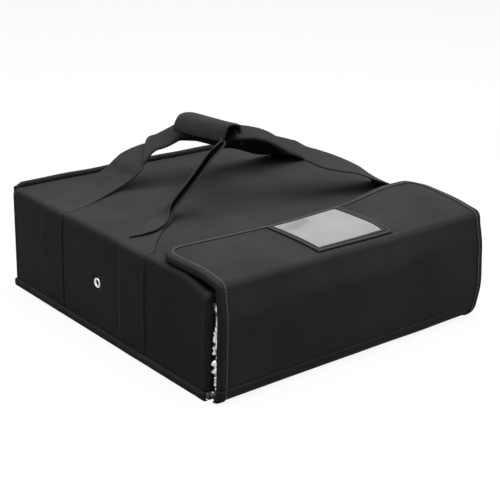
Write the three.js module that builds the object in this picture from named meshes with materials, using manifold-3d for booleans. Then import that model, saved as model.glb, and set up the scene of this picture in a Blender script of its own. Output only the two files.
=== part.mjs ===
// Insulated pizza delivery bag, in millimetres, +Z up, flap towards -Y, standing on z = 0.
// The bag is a padded box open at the front. Its floor cloth runs on as a padded flap that covers the
// mouth, folds over the top and is held there by hook and loop patches. Two webbing loops, sewn to the
// side walls, meet above the top in one wrapped grip.

import * as THREE from 'three';
import { mergeVertices } from 'three/addons/utils/BufferGeometryUtils.js';
import Module from 'manifold-3d';

const wasm = await Module();
wasm.setup();

// Box of the bag
const bodyWidth = 406;
const bodyDepth = 406;
const bodyHeight = 130;
const edgeRadius = 5;

// Layers of a wall, from outside to inside, and the clearance between sewn pieces
const clothThickness = 1;
const foamThickness = 5;
const liningThickness = 0.6;
const gap = 0.3;

// Binding tape that closes raw edges
const tapeThickness = 0.8;
const tapeWidth = 9;

// Flap
const flapSideInset = 3;
const flapStandoff = 14;
const flapTopRadius = 12;
const tongueOverlap = 100;
const tongueCornerRadius = 25;

// Hook and loop patches between the tongue and the top
const patchWidth = 45;
const patchSpacing = 236;
const patchThickness = 1.5;
const hookLength = 42;
const loopLength = 60;
const loopPeek = 10;

// Label window on the tongue
const windowWidth = 98;
const windowDepth = 80;
const windowOffset = 3;
const windowSheetThickness = 0.5;
const windowSheetMargin = 6;

// Seams of the floor and of the back
const floorSeamHeight = 9;
const strapTuck = 5;
const backRidgeHeight = 6.5;
const backRidgeDepth = 3.6;

// Vent eyelets in the side walls
const eyeletPlace = 9;
const eyeletHeight = 67;
const eyeletHole = 7;
const eyeletBarrel = 8.6;
const eyeletFlange = 12.4;
const eyeletFlangeThickness = 0.8;

// Webbing of the handles, and where its middle is sewn down the sides
const webbingWidth = 50;
const webbingThickness = 2;
const rearStrapFromBack = 91;
const frontStrapFromMouth = 142;

// Grip, where both loops lie folded lengthwise side by side under a padded wrap
const gripLength = 100;
const gripBehindStraps = 41.5;
const gripRise = 74;
const gripTilt = 4;
const foldHeight = 21;
const foldWidth = 4.6;
const foldBelow = 11;
const wrapThickness = 3;
const wrapSkirtReach = 16;
const wrapSkirtDrop = 17.5;
const wrapRidge = 14;
const wrapShoulder = 5;
const wrapFlapDrop = 20;
const wrapTapeThickness = 1.5;
const wrapTapeHeight = 14;

// Fineness of curves
const arcSteps = 6;
const roundSteps = 28;
const legSteps = 27;
const degree = Math.PI / 180;

// How far a cutting shape runs past what it cuts
const overrun = 2;

const finishes = {
  cloth: { color: 0x1b1b1c, roughness: 0.82, metalness: 0 },
  tape: { color: 0x202021, roughness: 0.78, metalness: 0 },
  webbing: { color: 0x1e1e1f, roughness: 0.72, metalness: 0 },
  foam: { color: 0xe9e8e2, roughness: 0.9, metalness: 0 },
  lining: { color: 0xb9bcc0, roughness: 0.28, metalness: 0.85 },
  hook: { color: 0x141415, roughness: 0.95, metalness: 0 },
  metal: { color: 0xc9c9c6, roughness: 0.25, metalness: 1 },
  window: { color: 0xcfd1d2, roughness: 0.2, metalness: 0 },
};

// Places that several pieces share, measured in the frame of the box, whose mouth faces -Y
const halfWidth = bodyWidth / 2;
const mouth = -bodyDepth / 2;
const back = bodyDepth / 2;
const rearStrapPlace = back - rearStrapFromBack;
const frontStrapPlace = mouth + frontStrapFromMouth;
const gripPlace = (rearStrapPlace + frontStrapPlace) / 2 + gripBehindStraps;
const wallInside = clothThickness + gap;
const foamInside = wallInside + foamThickness;
const liningOutside = foamInside + gap;
const liningInside = liningOutside + liningThickness;
const tapeProud = gap + tapeThickness;
const bindingInside = liningInside + tapeProud;
const layersStart = mouth + tapeThickness + gap;
const backLayersFront = back - liningInside - gap;

const flapHalfWidth = halfWidth - flapSideInset;
const flapFace = mouth - flapStandoff;
const flapBottomRadius = flapStandoff;
const patchStack = 2 * patchThickness + 3 * gap;
const tongueTop = bodyHeight + patchStack + liningInside;
const tongueRear = mouth + tongueOverlap;
const topArcY = flapFace + flapTopRadius;
const topArcZ = tongueTop - flapTopRadius;
const frontExtreme = flapFace - tapeProud;
const backExtreme = back + tapeProud;

// Geometry helpers

function alongX(shape, from, to) {
  const geometry = new THREE.ExtrudeGeometry(shape, {
    depth: to - from,
    bevelEnabled: false,
    curveSegments: arcSteps,
  });
  const turn = new THREE.Matrix4().makeBasis(
    new THREE.Vector3(0, 1, 0),
    new THREE.Vector3(0, 0, 1),
    new THREE.Vector3(1, 0, 0),
  );
  geometry.applyMatrix4(turn);
  return geometry.translate(from, 0, 0);
}

function alongY(shape, from, to) {
  const geometry = new THREE.ExtrudeGeometry(shape, {
    depth: to - from,
    bevelEnabled: false,
    curveSegments: arcSteps,
  });
  geometry.rotateX(Math.PI / 2);
  return geometry.translate(0, to, 0);
}

function alongZ(shape, from, to) {
  const geometry = new THREE.ExtrudeGeometry(shape, {
    depth: to - from,
    bevelEnabled: false,
    curveSegments: arcSteps,
  });
  return geometry.translate(0, 0, from);
}

function block(x0, x1, y0, y1, z0, z1) {
  const geometry = new THREE.BoxGeometry(x1 - x0, y1 - y0, z1 - z0);
  return geometry.translate((x0 + x1) / 2, (y0 + y1) / 2, (z0 + z1) / 2);
}

function toSolid(geometry) {
  const bare = geometry.clone();
  bare.deleteAttribute('normal');
  bare.deleteAttribute('uv');
  const welded = mergeVertices(bare);
  return new wasm.Manifold(new wasm.Mesh({
    numProp: 3,
    vertProperties: new Float32Array(welded.attributes.position.array),
    triVerts: new Uint32Array(welded.index.array),
  }));
}

function toGeometry(solid) {
  const mesh = solid.getMesh();
  const geometry = new THREE.BufferGeometry();
  geometry.setAttribute('position', new THREE.BufferAttribute(mesh.vertProperties, 3));
  geometry.setIndex(new THREE.BufferAttribute(mesh.triVerts, 1));
  geometry.computeVertexNormals();
  return geometry;
}

function joined(...geometries) {
  return toGeometry(geometries.map(toSolid).reduce((sum, next) => sum.add(next)));
}

function cut(geometry, ...tools) {
  return toGeometry(tools.map(toSolid).reduce((rest, tool) => rest.subtract(tool), toSolid(geometry)));
}

function common(geometry, other) {
  return toGeometry(toSolid(geometry).intersect(toSolid(other)));
}

function arcPoints(centreU, centreV, radius, fromAngle, toAngle, steps = arcSteps) {
  const points = [];
  for (let i = 0; i <= steps; i += 1) {
    const angle = (fromAngle + (toAngle - fromAngle) * i / steps) * degree;
    points.push(new THREE.Vector2(
      centreU + radius * Math.cos(angle),
      centreV + radius * Math.sin(angle),
    ));
  }
  return points;
}

function band(outer, inner) {
  return new THREE.Shape([...outer, ...[...inner].reverse()]);
}

const bag = new THREE.Group();

function addPiece(group, name, geometry, finish) {
  const mesh = new THREE.Mesh(geometry, new THREE.MeshStandardMaterial(finishes[finish]));
  mesh.name = name;
  group.add(mesh);
  return mesh;
}

// Sleeve: one cloth that goes up the left wall, over the top and down the right wall

function archPoints(inset, footHeight) {
  const side = halfWidth - inset;
  const top = bodyHeight - inset;
  const radius = Math.max(edgeRadius - inset, gap);
  const steps = radius > gap ? arcSteps : 1;
  return [
    new THREE.Vector2(-side, footHeight),
    ...arcPoints(-side + radius, top - radius, radius, 180, 90, steps),
    ...arcPoints(side - radius, top - radius, radius, 90, 0, steps),
    new THREE.Vector2(side, footHeight),
  ];
}

function arch(outerInset, innerInset, footHeight, from, to) {
  const shape = band(archPoints(outerInset, footHeight), archPoints(innerInset, footHeight));
  return alongY(shape, from, to);
}

function ventBore(diameter, side) {
  const length = bindingInside + 2 * overrun;
  const bore = new THREE.CylinderGeometry(diameter / 2, diameter / 2, length, roundSteps);
  bore.rotateZ(Math.PI / 2);
  return bore.translate(side * (halfWidth - bindingInside / 2), eyeletPlace, eyeletHeight);
}

function withVents(geometry) {
  const clear = eyeletBarrel + 2 * gap;
  return cut(geometry, ventBore(clear, -1), ventBore(clear, 1));
}

addPiece(
  bag,
  'sleeve_outer',
  withVents(arch(0, clothThickness, wallInside, layersStart, back - wallInside)),
  'cloth',
);
addPiece(
  bag,
  'sleeve_lining',
  withVents(arch(liningOutside, liningInside, liningOutside, layersStart, backLayersFront)),
  'lining',
);

const foamTop = bodyHeight - wallInside;
const foamSide = halfWidth - wallInside;
addPiece(
  bag,
  'top_foam',
  alongY(new THREE.Shape(archPoints(wallInside, foamTop - foamThickness)), layersStart, backLayersFront),
  'foam',
);
for (const [name, side] of [['left', -1], ['right', 1]]) {
  const outside = side * foamSide;
  const inside = side * (foamSide - foamThickness);
  const board = block(
    Math.min(outside, inside),
    Math.max(outside, inside),
    layersStart,
    backLayersFront,
    wallInside,
    foamTop - foamThickness - gap,
  );
  addPiece(bag, `${name}_foam`, cut(board, ventBore(eyeletBarrel + 2 * gap, side)), 'foam');
}

// Floor: its cloth runs forward under the mouth and starts the soft bend of the flap

const bendSplit = 225;
const topSplit = 135;

function splitAngle(radius) {
  return gap / 2 / radius / degree;
}

function floorBand(outset, inset) {
  const outer = [
    new THREE.Vector2(back, outset),
    ...arcPoints(mouth, flapBottomRadius, flapBottomRadius - outset, 270,
      bendSplit + splitAngle(flapBottomRadius)),
  ];
  const inner = [
    new THREE.Vector2(back, inset),
    ...arcPoints(mouth, flapBottomRadius, flapBottomRadius - inset, 270,
      bendSplit + splitAngle(flapBottomRadius)),
  ];
  return band(outer, inner);
}

addPiece(bag, 'floor_outer', alongX(floorBand(0, clothThickness), -flapHalfWidth, flapHalfWidth), 'cloth');
addPiece(
  bag,
  'floor_foam',
  block(
    -(halfWidth - liningOutside),
    halfWidth - liningOutside,
    layersStart,
    backLayersFront,
    wallInside,
    foamInside,
  ),
  'foam',
);
addPiece(
  bag,
  'floor_lining',
  block(
    -(halfWidth - liningInside - gap),
    halfWidth - liningInside - gap,
    layersStart,
    backLayersFront,
    liningOutside,
    liningInside,
  ),
  'lining',
);

// Back panel

addPiece(
  bag,
  'back_outer',
  alongY(new THREE.Shape(archPoints(0, wallInside)), back - clothThickness, back),
  'cloth',
);
addPiece(
  bag,
  'back_foam',
  alongY(new THREE.Shape(archPoints(wallInside, wallInside)), back - foamInside, back - wallInside),
  'foam',
);
addPiece(
  bag,
  'back_lining',
  alongY(new THREE.Shape(archPoints(wallInside, wallInside)), back - liningInside, back - liningOutside),
  'lining',
);

// Seams of the box: mouth binding, floor seams with the strap ends tucked in, and the back seam,
// whose bound allowance stands up as a ridge along the top

const mouthTapeEnd = mouth + tapeWidth;
const floorSeamTop = gap + floorSeamHeight;
const mouthFlangeFoot = floorSeamTop + gap;

addPiece(
  bag,
  'mouth_binding',
  joined(
    arch(-tapeProud, bindingInside, mouthFlangeFoot, mouth, mouth + tapeThickness),
    arch(-tapeProud, -gap, mouthFlangeFoot, mouth, mouthTapeEnd),
    arch(liningInside + gap, bindingInside, mouthFlangeFoot, mouth, mouthTapeEnd),
  ),
  'tape',
);

const strapOutside = gap + webbingThickness;
const floorSeamThickness = strapOutside + tapeProud;
const strapFoot = floorSeamTop - strapTuck;

function sideBlock(side, inner, outer, y0, y1, z0, z1) {
  const a = side * (halfWidth + inner);
  const b = side * (halfWidth + outer);
  return block(Math.min(a, b), Math.max(a, b), y0, y1, z0, z1);
}

for (const [name, side] of [['left', -1], ['right', 1]]) {
  const slots = [rearStrapPlace, frontStrapPlace].map((place) => sideBlock(
    side,
    -overrun,
    strapOutside + gap,
    place - webbingWidth / 2 - gap,
    place + webbingWidth / 2 + gap,
    strapFoot - gap,
    floorSeamTop + overrun,
  ));
  const seam = sideBlock(side, gap, floorSeamThickness, mouth, back, gap, floorSeamTop);
  addPiece(bag, `${name}_floor_seam`, cut(seam, ...slots), 'tape');
}

const backTape = band(archPoints(0, wallInside), archPoints(tapeWidth, wallInside));
const ridgeRound = backRidgeDepth / 2;
const ridgeTop = bodyHeight + gap + backRidgeHeight;
const ridgeHalf = halfWidth - edgeRadius;
const ridgeShape = new THREE.Shape([
  new THREE.Vector2(backExtreme - backRidgeDepth, bodyHeight + gap),
  new THREE.Vector2(backExtreme, bodyHeight + gap),
  ...arcPoints(backExtreme - ridgeRound, ridgeTop - ridgeRound, ridgeRound, 0, 180),
]);
const ridgeRoot = block(
  -ridgeHalf,
  ridgeHalf,
  back + gap,
  backExtreme,
  bodyHeight - tapeWidth,
  ridgeTop - ridgeRound,
);
addPiece(
  bag,
  'back_seam',
  joined(alongY(backTape, back + gap, backExtreme), alongX(ridgeShape, -ridgeHalf, ridgeHalf), ridgeRoot),
  'tape',
);
addPiece(
  bag,
  'back_floor_seam',
  block(-halfWidth, halfWidth, back + gap, backExtreme, gap, wallInside - gap),
  'tape',
);

// Vent eyelets: a flanged tube from outside and a washer that it is rolled over inside

for (const [name, side] of [['left', -1], ['right', 1]]) {
  const outerFace = halfWidth + gap + eyeletFlangeThickness;
  const tubeEnd = outerFace - liningInside - 3 * gap - 2 * eyeletFlangeThickness;
  const eyelet = new THREE.LatheGeometry([
    new THREE.Vector2(eyeletHole / 2, tubeEnd),
    new THREE.Vector2(eyeletBarrel / 2, tubeEnd),
    new THREE.Vector2(eyeletBarrel / 2, halfWidth + gap),
    new THREE.Vector2(eyeletFlange / 2, halfWidth + gap),
    new THREE.Vector2(eyeletFlange / 2 - eyeletFlangeThickness / 2, outerFace),
    new THREE.Vector2(eyeletHole / 2, outerFace),
    new THREE.Vector2(eyeletHole / 2, tubeEnd),
  ], roundSteps);
  eyelet.rotateZ(-side * Math.PI / 2);
  eyelet.translate(0, eyeletPlace, eyeletHeight);
  addPiece(bag, `${name}_eyelet`, eyelet, 'metal');

  const washerOutside = halfWidth - liningInside - gap;
  const washer = new THREE.LatheGeometry([
    new THREE.Vector2(eyeletBarrel / 2 + gap, washerOutside - eyeletFlangeThickness),
    new THREE.Vector2(eyeletFlange / 2, washerOutside - eyeletFlangeThickness),
    new THREE.Vector2(eyeletFlange / 2, washerOutside),
    new THREE.Vector2(eyeletBarrel / 2 + gap, washerOutside),
    new THREE.Vector2(eyeletBarrel / 2 + gap, washerOutside - eyeletFlangeThickness),
  ], roundSteps);
  washer.rotateZ(-side * Math.PI / 2);
  washer.translate(0, eyeletPlace, eyeletHeight);
  addPiece(bag, `${name}_eyelet_washer`, washer, 'metal');
}

// Flap front: covers the mouth and turns about the bend at the floor

function frontOuterPoints(inset) {
  return [
    ...arcPoints(mouth, flapBottomRadius, flapBottomRadius - inset,
      bendSplit - splitAngle(flapBottomRadius), 180),
    ...arcPoints(topArcY, topArcZ, flapTopRadius - inset, 180,
      topSplit + splitAngle(flapTopRadius)),
  ];
}

const frontFoot = flapBottomRadius + gap;
const frontHead = topArcZ - gap;

addPiece(
  bag,
  'flap_front_outer',
  alongX(band(frontOuterPoints(0), frontOuterPoints(clothThickness)), -flapHalfWidth, flapHalfWidth),
  'cloth',
);
addPiece(
  bag,
  'flap_front_foam',
  block(
    -flapHalfWidth,
    flapHalfWidth,
    flapFace + wallInside,
    flapFace + foamInside,
    frontFoot,
    frontHead,
  ),
  'foam',
);
addPiece(
  bag,
  'flap_front_lining',
  block(
    -flapHalfWidth,
    flapHalfWidth,
    flapFace + liningOutside,
    flapFace + liningInside,
    frontFoot,
    frontHead,
  ),
  'lining',
);

const tapeInner = flapHalfWidth - tapeWidth;
const tapeOuter = flapHalfWidth + tapeProud;
const tapeWall = flapHalfWidth + gap;

function spanX(side, a, b) {
  return side < 0 ? [-b, -a] : [a, b];
}

for (const [name, side] of [['left', -1], ['right', 1]]) {
  const outerLeaf = band(frontOuterPoints(-tapeProud), frontOuterPoints(-gap));
  const wall = new THREE.Shape([
    ...frontOuterPoints(-tapeProud),
    new THREE.Vector2(flapFace + bindingInside, frontHead),
    new THREE.Vector2(flapFace + bindingInside, frontFoot),
  ]);
  const innerLeaf = new THREE.Shape([
    new THREE.Vector2(flapFace + liningInside + gap, frontFoot),
    new THREE.Vector2(flapFace + bindingInside, frontFoot),
    new THREE.Vector2(flapFace + bindingInside, frontHead),
    new THREE.Vector2(flapFace + liningInside + gap, frontHead),
  ]);
  addPiece(
    bag,
    `flap_${name}_binding`,
    joined(
      alongX(outerLeaf, ...spanX(side, tapeInner, tapeOuter)),
      alongX(wall, ...spanX(side, tapeWall, tapeOuter)),
      alongX(innerLeaf, ...spanX(side, tapeInner, tapeOuter)),
    ),
    'tape',
  );
}

// Tongue: the end of the flap, folded over the top, with rounded free corners

function tongueOutline(outset, front) {
  const side = flapHalfWidth + outset;
  const rear = tongueRear + outset;
  const radius = tongueCornerRadius + outset;
  return [
    new THREE.Vector2(-side, front),
    ...arcPoints(-side + radius, rear - radius, radius, 180, 90),
    ...arcPoints(side - radius, rear - radius, radius, 90, 0),
    new THREE.Vector2(side, front),
  ];
}

function tongueBand(outset, inset) {
  const outer = [
    ...arcPoints(topArcY, topArcZ, flapTopRadius - outset, topSplit - splitAngle(flapTopRadius), 90),
    new THREE.Vector2(tongueRear + overrun, tongueTop - outset),
  ];
  const inner = [
    ...arcPoints(topArcY, topArcZ, flapTopRadius - inset, topSplit - splitAngle(flapTopRadius), 90),
    new THREE.Vector2(tongueRear + overrun, tongueTop - inset),
  ];
  return band(outer, inner);
}

const tongueFront = topArcY + gap;

function tongueSheet(inset, thickness) {
  const level = tongueTop - inset;
  return alongZ(new THREE.Shape(tongueOutline(0, tongueFront)), level - thickness, level);
}

addPiece(
  bag,
  'tongue_outer',
  common(
    alongX(tongueBand(0, clothThickness), -flapHalfWidth, flapHalfWidth),
    alongZ(new THREE.Shape(tongueOutline(0, flapFace - overrun)), bodyHeight, tongueTop + overrun),
  ),
  'cloth',
);
addPiece(bag, 'tongue_foam', tongueSheet(wallInside, foamThickness), 'foam');
addPiece(bag, 'tongue_lining', tongueSheet(liningOutside, liningThickness), 'lining');

function tongueTapeBand(from, to, low, high) {
  return alongZ(band(tongueOutline(to, topArcY), tongueOutline(from, topArcY)), low, high);
}

function tongueBendTape(side) {
  const start = topSplit - splitAngle(flapTopRadius);
  const outerArc = arcPoints(topArcY, topArcZ, flapTopRadius + tapeProud, start, 90);
  const innerArc = arcPoints(topArcY, topArcZ, flapTopRadius + gap, start, 90);
  const leaf = alongX(band(outerArc, innerArc), ...spanX(side, tapeInner, tapeOuter));
  const bridge = block(
    ...spanX(side, tapeInner, tapeOuter),
    topArcY - gap,
    topArcY + gap,
    tongueTop + gap,
    tongueTop + tapeProud,
  );
  return [leaf, bridge];
}

addPiece(
  bag,
  'tongue_binding',
  joined(
    tongueTapeBand(-tapeWidth, tapeProud, tongueTop + gap, tongueTop + tapeProud),
    tongueTapeBand(gap, tapeProud, tongueTop - bindingInside, tongueTop + tapeProud),
    tongueTapeBand(-tapeWidth, tapeProud, tongueTop - bindingInside, tongueTop - liningInside - gap),
    ...tongueBendTape(-1),
    ...tongueBendTape(1),
  ),
  'tape',
);

// Label window: a sheet held on the tongue by tape on three sides, open under the rear binding

const windowRear = tongueRear - tapeWidth - gap;
const windowFront = windowRear - windowDepth;
const windowLeft = windowOffset - windowWidth / 2;
const windowRight = windowOffset + windowWidth / 2;
const sheetBottom = tongueTop + gap;
const sheetTop = sheetBottom + windowSheetThickness;

function windowOutline(outset) {
  return [
    new THREE.Vector2(windowLeft - outset, windowRear),
    new THREE.Vector2(windowLeft - outset, windowFront - outset),
    new THREE.Vector2(windowRight + outset, windowFront - outset),
    new THREE.Vector2(windowRight + outset, windowRear),
  ];
}

addPiece(
  bag,
  'window_sheet',
  alongZ(new THREE.Shape(windowOutline(windowSheetMargin)), sheetBottom, sheetTop),
  'window',
);
addPiece(
  bag,
  'window_frame',
  alongZ(
    band(windowOutline(tapeWidth), windowOutline(0)),
    sheetTop + gap,
    sheetTop + gap + tapeThickness,
  ),
  'tape',
);

// Hook patches under the tongue, loop patches on the top

const hookTop = tongueTop - liningInside - gap;
const hookRear = tongueRear - tapeWidth - gap;
const loopRear = tongueRear + loopPeek;
for (const [name, side] of [['left', -1], ['right', 1]]) {
  const centre = side * patchSpacing / 2;
  addPiece(
    bag,
    `${name}_hook_patch`,
    block(
      centre - patchWidth / 2,
      centre + patchWidth / 2,
      hookRear - hookLength,
      hookRear,
      hookTop - patchThickness,
      hookTop,
    ),
    'hook',
  );
  addPiece(
    bag,
    `${name}_loop_patch`,
    block(
      centre - patchWidth / 2,
      centre + patchWidth / 2,
      loopRear - loopLength,
      loopRear,
      bodyHeight + gap,
      bodyHeight + gap + patchThickness,
    ),
    'hook',
  );
}

// Straps sewn up the side walls and over the folded top edge

const strapInner = edgeRadius + gap;
const strapOuterRadius = strapInner + webbingThickness;
const strapCornerX = halfWidth - edgeRadius;
const strapCornerZ = bodyHeight - edgeRadius;
const strapLand = 2 * webbingThickness;

function strapPoints(side, radius) {
  const points = [
    new THREE.Vector2(-strapCornerX - radius, strapFoot),
    ...arcPoints(-strapCornerX, strapCornerZ, radius, 180, 90),
    new THREE.Vector2(-strapCornerX + strapLand, strapCornerZ + radius),
  ];
  return points.map((point) => new THREE.Vector2(-side * point.x, point.y));
}

function strapShape(side) {
  return band(strapPoints(side, strapOuterRadius), strapPoints(side, strapInner));
}

for (const [name, side] of [['left', -1], ['right', 1]]) {
  for (const [end, place] of [['rear', rearStrapPlace], ['front', frontStrapPlace]]) {
    const strip = alongY(strapShape(side), place - webbingWidth / 2, place + webbingWidth / 2);
    addPiece(bag, `${name}_${end}_strap`, strip, 'webbing');
  }
}

// Grip group: everything in it is measured from the middle of the grip, front end raised by the tilt

const grip = new THREE.Group();
grip.position.set(0, gripPlace, bodyHeight + gripRise);
grip.rotation.x = -gripTilt * degree;
grip.updateMatrix();
bag.add(grip);

const gripHalf = gripLength / 2;
const foldBottom = -foldBelow;
const foldTop = foldBottom + foldHeight;
const foldRound = foldWidth / 2;

function foldedPoints(centre, radius) {
  return [
    new THREE.Vector2(centre - radius, foldTop),
    ...arcPoints(centre, foldBottom + foldRound, radius, 180, 360),
    new THREE.Vector2(centre + radius, foldTop),
  ];
}

const foldCentre = foldRound + gap;
for (const [name, side] of [['left', -1], ['right', 1]]) {
  const centre = side * foldCentre;
  const shape = band(foldedPoints(centre, foldRound), foldedPoints(centre, foldRound - webbingThickness));
  addPiece(grip, `${name}_grip_webbing`, alongY(shape, -gripHalf, gripHalf), 'webbing');
}

const foldFace = foldCentre + foldRound;
const wrapTapeMiddle = foldTop - foldHeight / 2;
const loopInner = foldFace + gap;
const hookInner = loopInner + wrapTapeThickness + gap;
const wrapFlapInner = hookInner + wrapTapeThickness + gap;
const wrapFlapOuter = wrapFlapInner + wrapThickness;
const wrapUnder = foldTop + gap;
const wrapTop = wrapUnder + wrapThickness;

function wrapPoints(inset) {
  const outer = [
    [-wrapSkirtReach, wrapTop - wrapSkirtDrop],
    [-(wrapSkirtReach + wrapRidge / 2) / 2 - wrapThickness / 2, wrapTop - wrapSkirtDrop / 2],
    [-wrapRidge / 2, wrapTop],
    [wrapRidge / 2, wrapTop],
    [wrapFlapOuter, wrapTop - wrapShoulder + wrapThickness],
  ];
  const lean = [
    [wrapThickness, 0],
    [wrapThickness, -wrapThickness / 2],
    [wrapThickness / 2, -wrapThickness],
    [0, -wrapThickness],
    [0, -wrapThickness],
  ];
  return outer.map(([x, z], i) => new THREE.Vector2(
    x + lean[i][0] * inset,
    z + lean[i][1] * inset,
  ));
}

const pad = new THREE.Shape(wrapPoints(0));
for (const point of wrapPoints(1).reverse()) {
  pad.lineTo(point.x, point.y);
}
pad.closePath();
addPiece(grip, 'grip_wrap', alongY(pad, -gripHalf, gripHalf), 'cloth');

const wrapFlapTop = wrapTop - wrapShoulder - gap;
addPiece(
  grip,
  'grip_wrap_flap',
  block(wrapFlapInner, wrapFlapOuter, -gripHalf, gripHalf, wrapFlapTop - wrapFlapDrop, wrapFlapTop),
  'cloth',
);
addPiece(
  grip,
  'grip_loop_tape',
  block(
    loopInner,
    loopInner + wrapTapeThickness,
    -gripHalf + wrapThickness,
    gripHalf - wrapThickness,
    wrapTapeMiddle - wrapTapeHeight / 2,
    wrapTapeMiddle + wrapTapeHeight / 2,
  ),
  'hook',
);
addPiece(
  grip,
  'grip_hook_tape',
  block(
    hookInner,
    hookInner + wrapTapeThickness,
    -gripHalf + wrapThickness,
    gripHalf - wrapThickness,
    wrapTapeMiddle - wrapTapeHeight / 2,
    wrapTapeMiddle + wrapTapeHeight / 2,
  ),
  'hook',
);

// Free legs of the handle loops. Each leaves its strap flat, rises, folds lengthwise and turns into the
// end of the folded webbing in the grip. The left front one lies down on the top, doubled, before it
// rises. A row of a table is one station: how far it is from strap to grip across the top, how far from
// back to front, how high, how far rolled towards the hand gap and how far folded, the last two as shares
// of a quarter turn.

const rearLegShares = [
  [0, 0, 0, 0, 0],
  [0.07, 0, 0.001, 0, 0.01],
  [0.16, 0.36, 0.012, 0, 0.03],
  [0.284, 1.04, 0.038, 0, 0.05],
  [0.443, 1.68, 0.125, 0, 0.08],
  [0.58, 1.78, 0.29, 0, 0.12],
  [0.686, 1.48, 0.464, -0.12, 0.32],
  [0.76, 1.17, 0.603, -0.42, 0.66],
  [0.834, 0.94, 0.743, -0.5, 0.86],
  [0.918, 0.91, 0.89, -0.3, 0.92],
];
const legShares = {
  left_rear: rearLegShares,
  right_rear: rearLegShares,
  left_front: [
    [0, 0, 0, 0, 0],
    [0.046, 0, 0.003, -0.2, 0.2],
    [0.094, 0.03, 0.008, -0.5, 0.5],
    [0.146, 0.18, 0.012, -0.72, 0.72],
    [0.215, 0.465, 0.017, -0.85, 0.85],
    [0.3, 0.781, 0.032, -0.9, 0.9],
    [0.411, 0.991, 0.102, -0.9, 0.9],
    [0.548, 1.111, 0.268, -0.88, 0.88],
    [0.696, 1.141, 0.556, -0.86, 0.88],
    [0.823, 1.104, 0.844, -0.6, 0.92],
  ],
  right_front: [
    [0, 0, 0, 0, 0],
    [0.051, 0, 0.008, 0, 0.01],
    [0.125, 0.045, 0.094, -0.03, 0.03],
    [0.21, 0.21, 0.283, -0.1, 0.04],
    [0.342, 0.405, 0.495, -0.12, 0.05],
    [0.511, 0.601, 0.7, -0.1, 0.06],
    [0.622, 0.721, 0.798, -0.06, 0.14],
    [0.718, 0.826, 0.867, 0, 0.36],
    [0.802, 0.916, 0.92, 0, 0.68],
    [0.882, 0.991, 0.965, 0, 0.9],
  ],
};
const legEndFoldShare = 0.94;
const legStraight = foldHeight / 2;

function gripPoint(x, y, z) {
  return new THREE.Vector3(x, y, z).applyMatrix4(grip.matrix);
}

function legCurves(shares, side, toward, place) {
  const start = new THREE.Vector3(
    side * (strapCornerX - strapLand - gap),
    place,
    strapCornerZ + strapInner + webbingThickness / 2,
  );
  const before = gripPoint(side * foldWidth, toward * (gripHalf + gap + legStraight), foldBottom);
  const way = before.clone().sub(start);
  const stations = shares.map(([across, aside, rise]) => new THREE.Vector3(
    start.x + way.x * across,
    start.y + way.y * aside,
    start.z + way.z * rise,
  ));
  const turns = shares.map(([, , , roll, fold]) => new THREE.Vector3(-side * toward * roll, fold, 0));
  const endTurn = new THREE.Vector3(0, legEndFoldShare, 0);
  return [
    new THREE.CatmullRomCurve3([...stations, before], false, 'catmullrom'),
    new THREE.CatmullRomCurve3([...turns, endTurn], false, 'catmullrom'),
  ];
}

function legSection(centre, along, turn) {
  const across = new THREE.Vector3(0, 0, 1).cross(along).normalize();
  across.applyAxisAngle(along, turn.x * Math.PI / 2);
  const up = along.clone().cross(across).normalize();
  const fold = Math.max(turn.y, 0) * Math.PI / 2;
  const half = webbingWidth / 2;
  const under = webbingThickness / 2 * (1 - Math.max(turn.y, 0));
  const place = (u, v) => centre.clone().addScaledVector(across, u).addScaledVector(up, v - under);
  const lean = webbingThickness * Math.sin(fold);
  const lift = webbingThickness * Math.cos(fold);
  const seat = Math.min(webbingThickness / Math.max(Math.cos(fold), gap), half / 2);
  return [
    place(half * Math.cos(fold), half * Math.sin(fold)),
    place(half * Math.cos(fold) - lean, half * Math.sin(fold) + lift),
    place(0, seat),
    place(-half * Math.cos(fold) + lean, half * Math.sin(fold) + lift),
    place(-half * Math.cos(fold), half * Math.sin(fold)),
    place(0, 0),
  ];
}

// Skins a run of leg sections. All four long faces are split from edge to crease, so that a twisted leg
// keeps its thickness and its halves stay apart.
function loft(sections) {
  const count = sections[0].length;
  const turnedFaces = [2, 5];
  const positions = sections.flat().flatMap((point) => [point.x, point.y, point.z]);
  const index = [];
  for (let s = 0; s < sections.length - 1; s += 1) {
    for (let i = 0; i < count; i += 1) {
      const next = (i + 1) % count;
      const a = s * count + i;
      const b = s * count + next;
      if (turnedFaces.includes(i)) {
        index.push(a, b, a + count, b, b + count, a + count);
      } else {
        index.push(a, b, b + count, a, b + count, a + count);
      }
    }
  }
  const last = (sections.length - 1) * count;
  const capTriangles = [[0, 1, 2], [0, 2, 5], [2, 3, 4], [2, 4, 5]];
  for (const [a, b, c] of capTriangles) {
    index.push(a, c, b, last + a, last + b, last + c);
  }
  const geometry = new THREE.BufferGeometry();
  geometry.setAttribute('position', new THREE.Float32BufferAttribute(positions, 3));
  geometry.setIndex(index);
  geometry.computeVertexNormals();
  return geometry;
}

for (const [name, side] of [['left', -1], ['right', 1]]) {
  for (const [end, place] of [['rear', rearStrapPlace], ['front', frontStrapPlace]]) {
    const toward = end === 'rear' ? 1 : -1;
    const [curve, turns] = legCurves(legShares[`${name}_${end}`], side, toward, place);
    const sections = [];
    for (let i = 0; i <= legSteps; i += 1) {
      const share = i / legSteps;
      sections.push(legSection(curve.getPoint(share), curve.getTangent(share), turns.getPoint(share)));
    }
    const finish = gripPoint(side * foldCentre, toward * (gripHalf + gap), foldBottom);
    const inward = new THREE.Vector3(0, -toward, 0).transformDirection(grip.matrix);
    sections.push(legSection(finish, inward, turns.getPoint(1)));
    addPiece(bag, `${name}_${end}_leg`, loft(sections), 'webbing');
  }
}

// The origin is under the middle of the whole bag, flap included
bag.position.y = -(frontExtreme + backExtreme) / 2;

export default bag;
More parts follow.
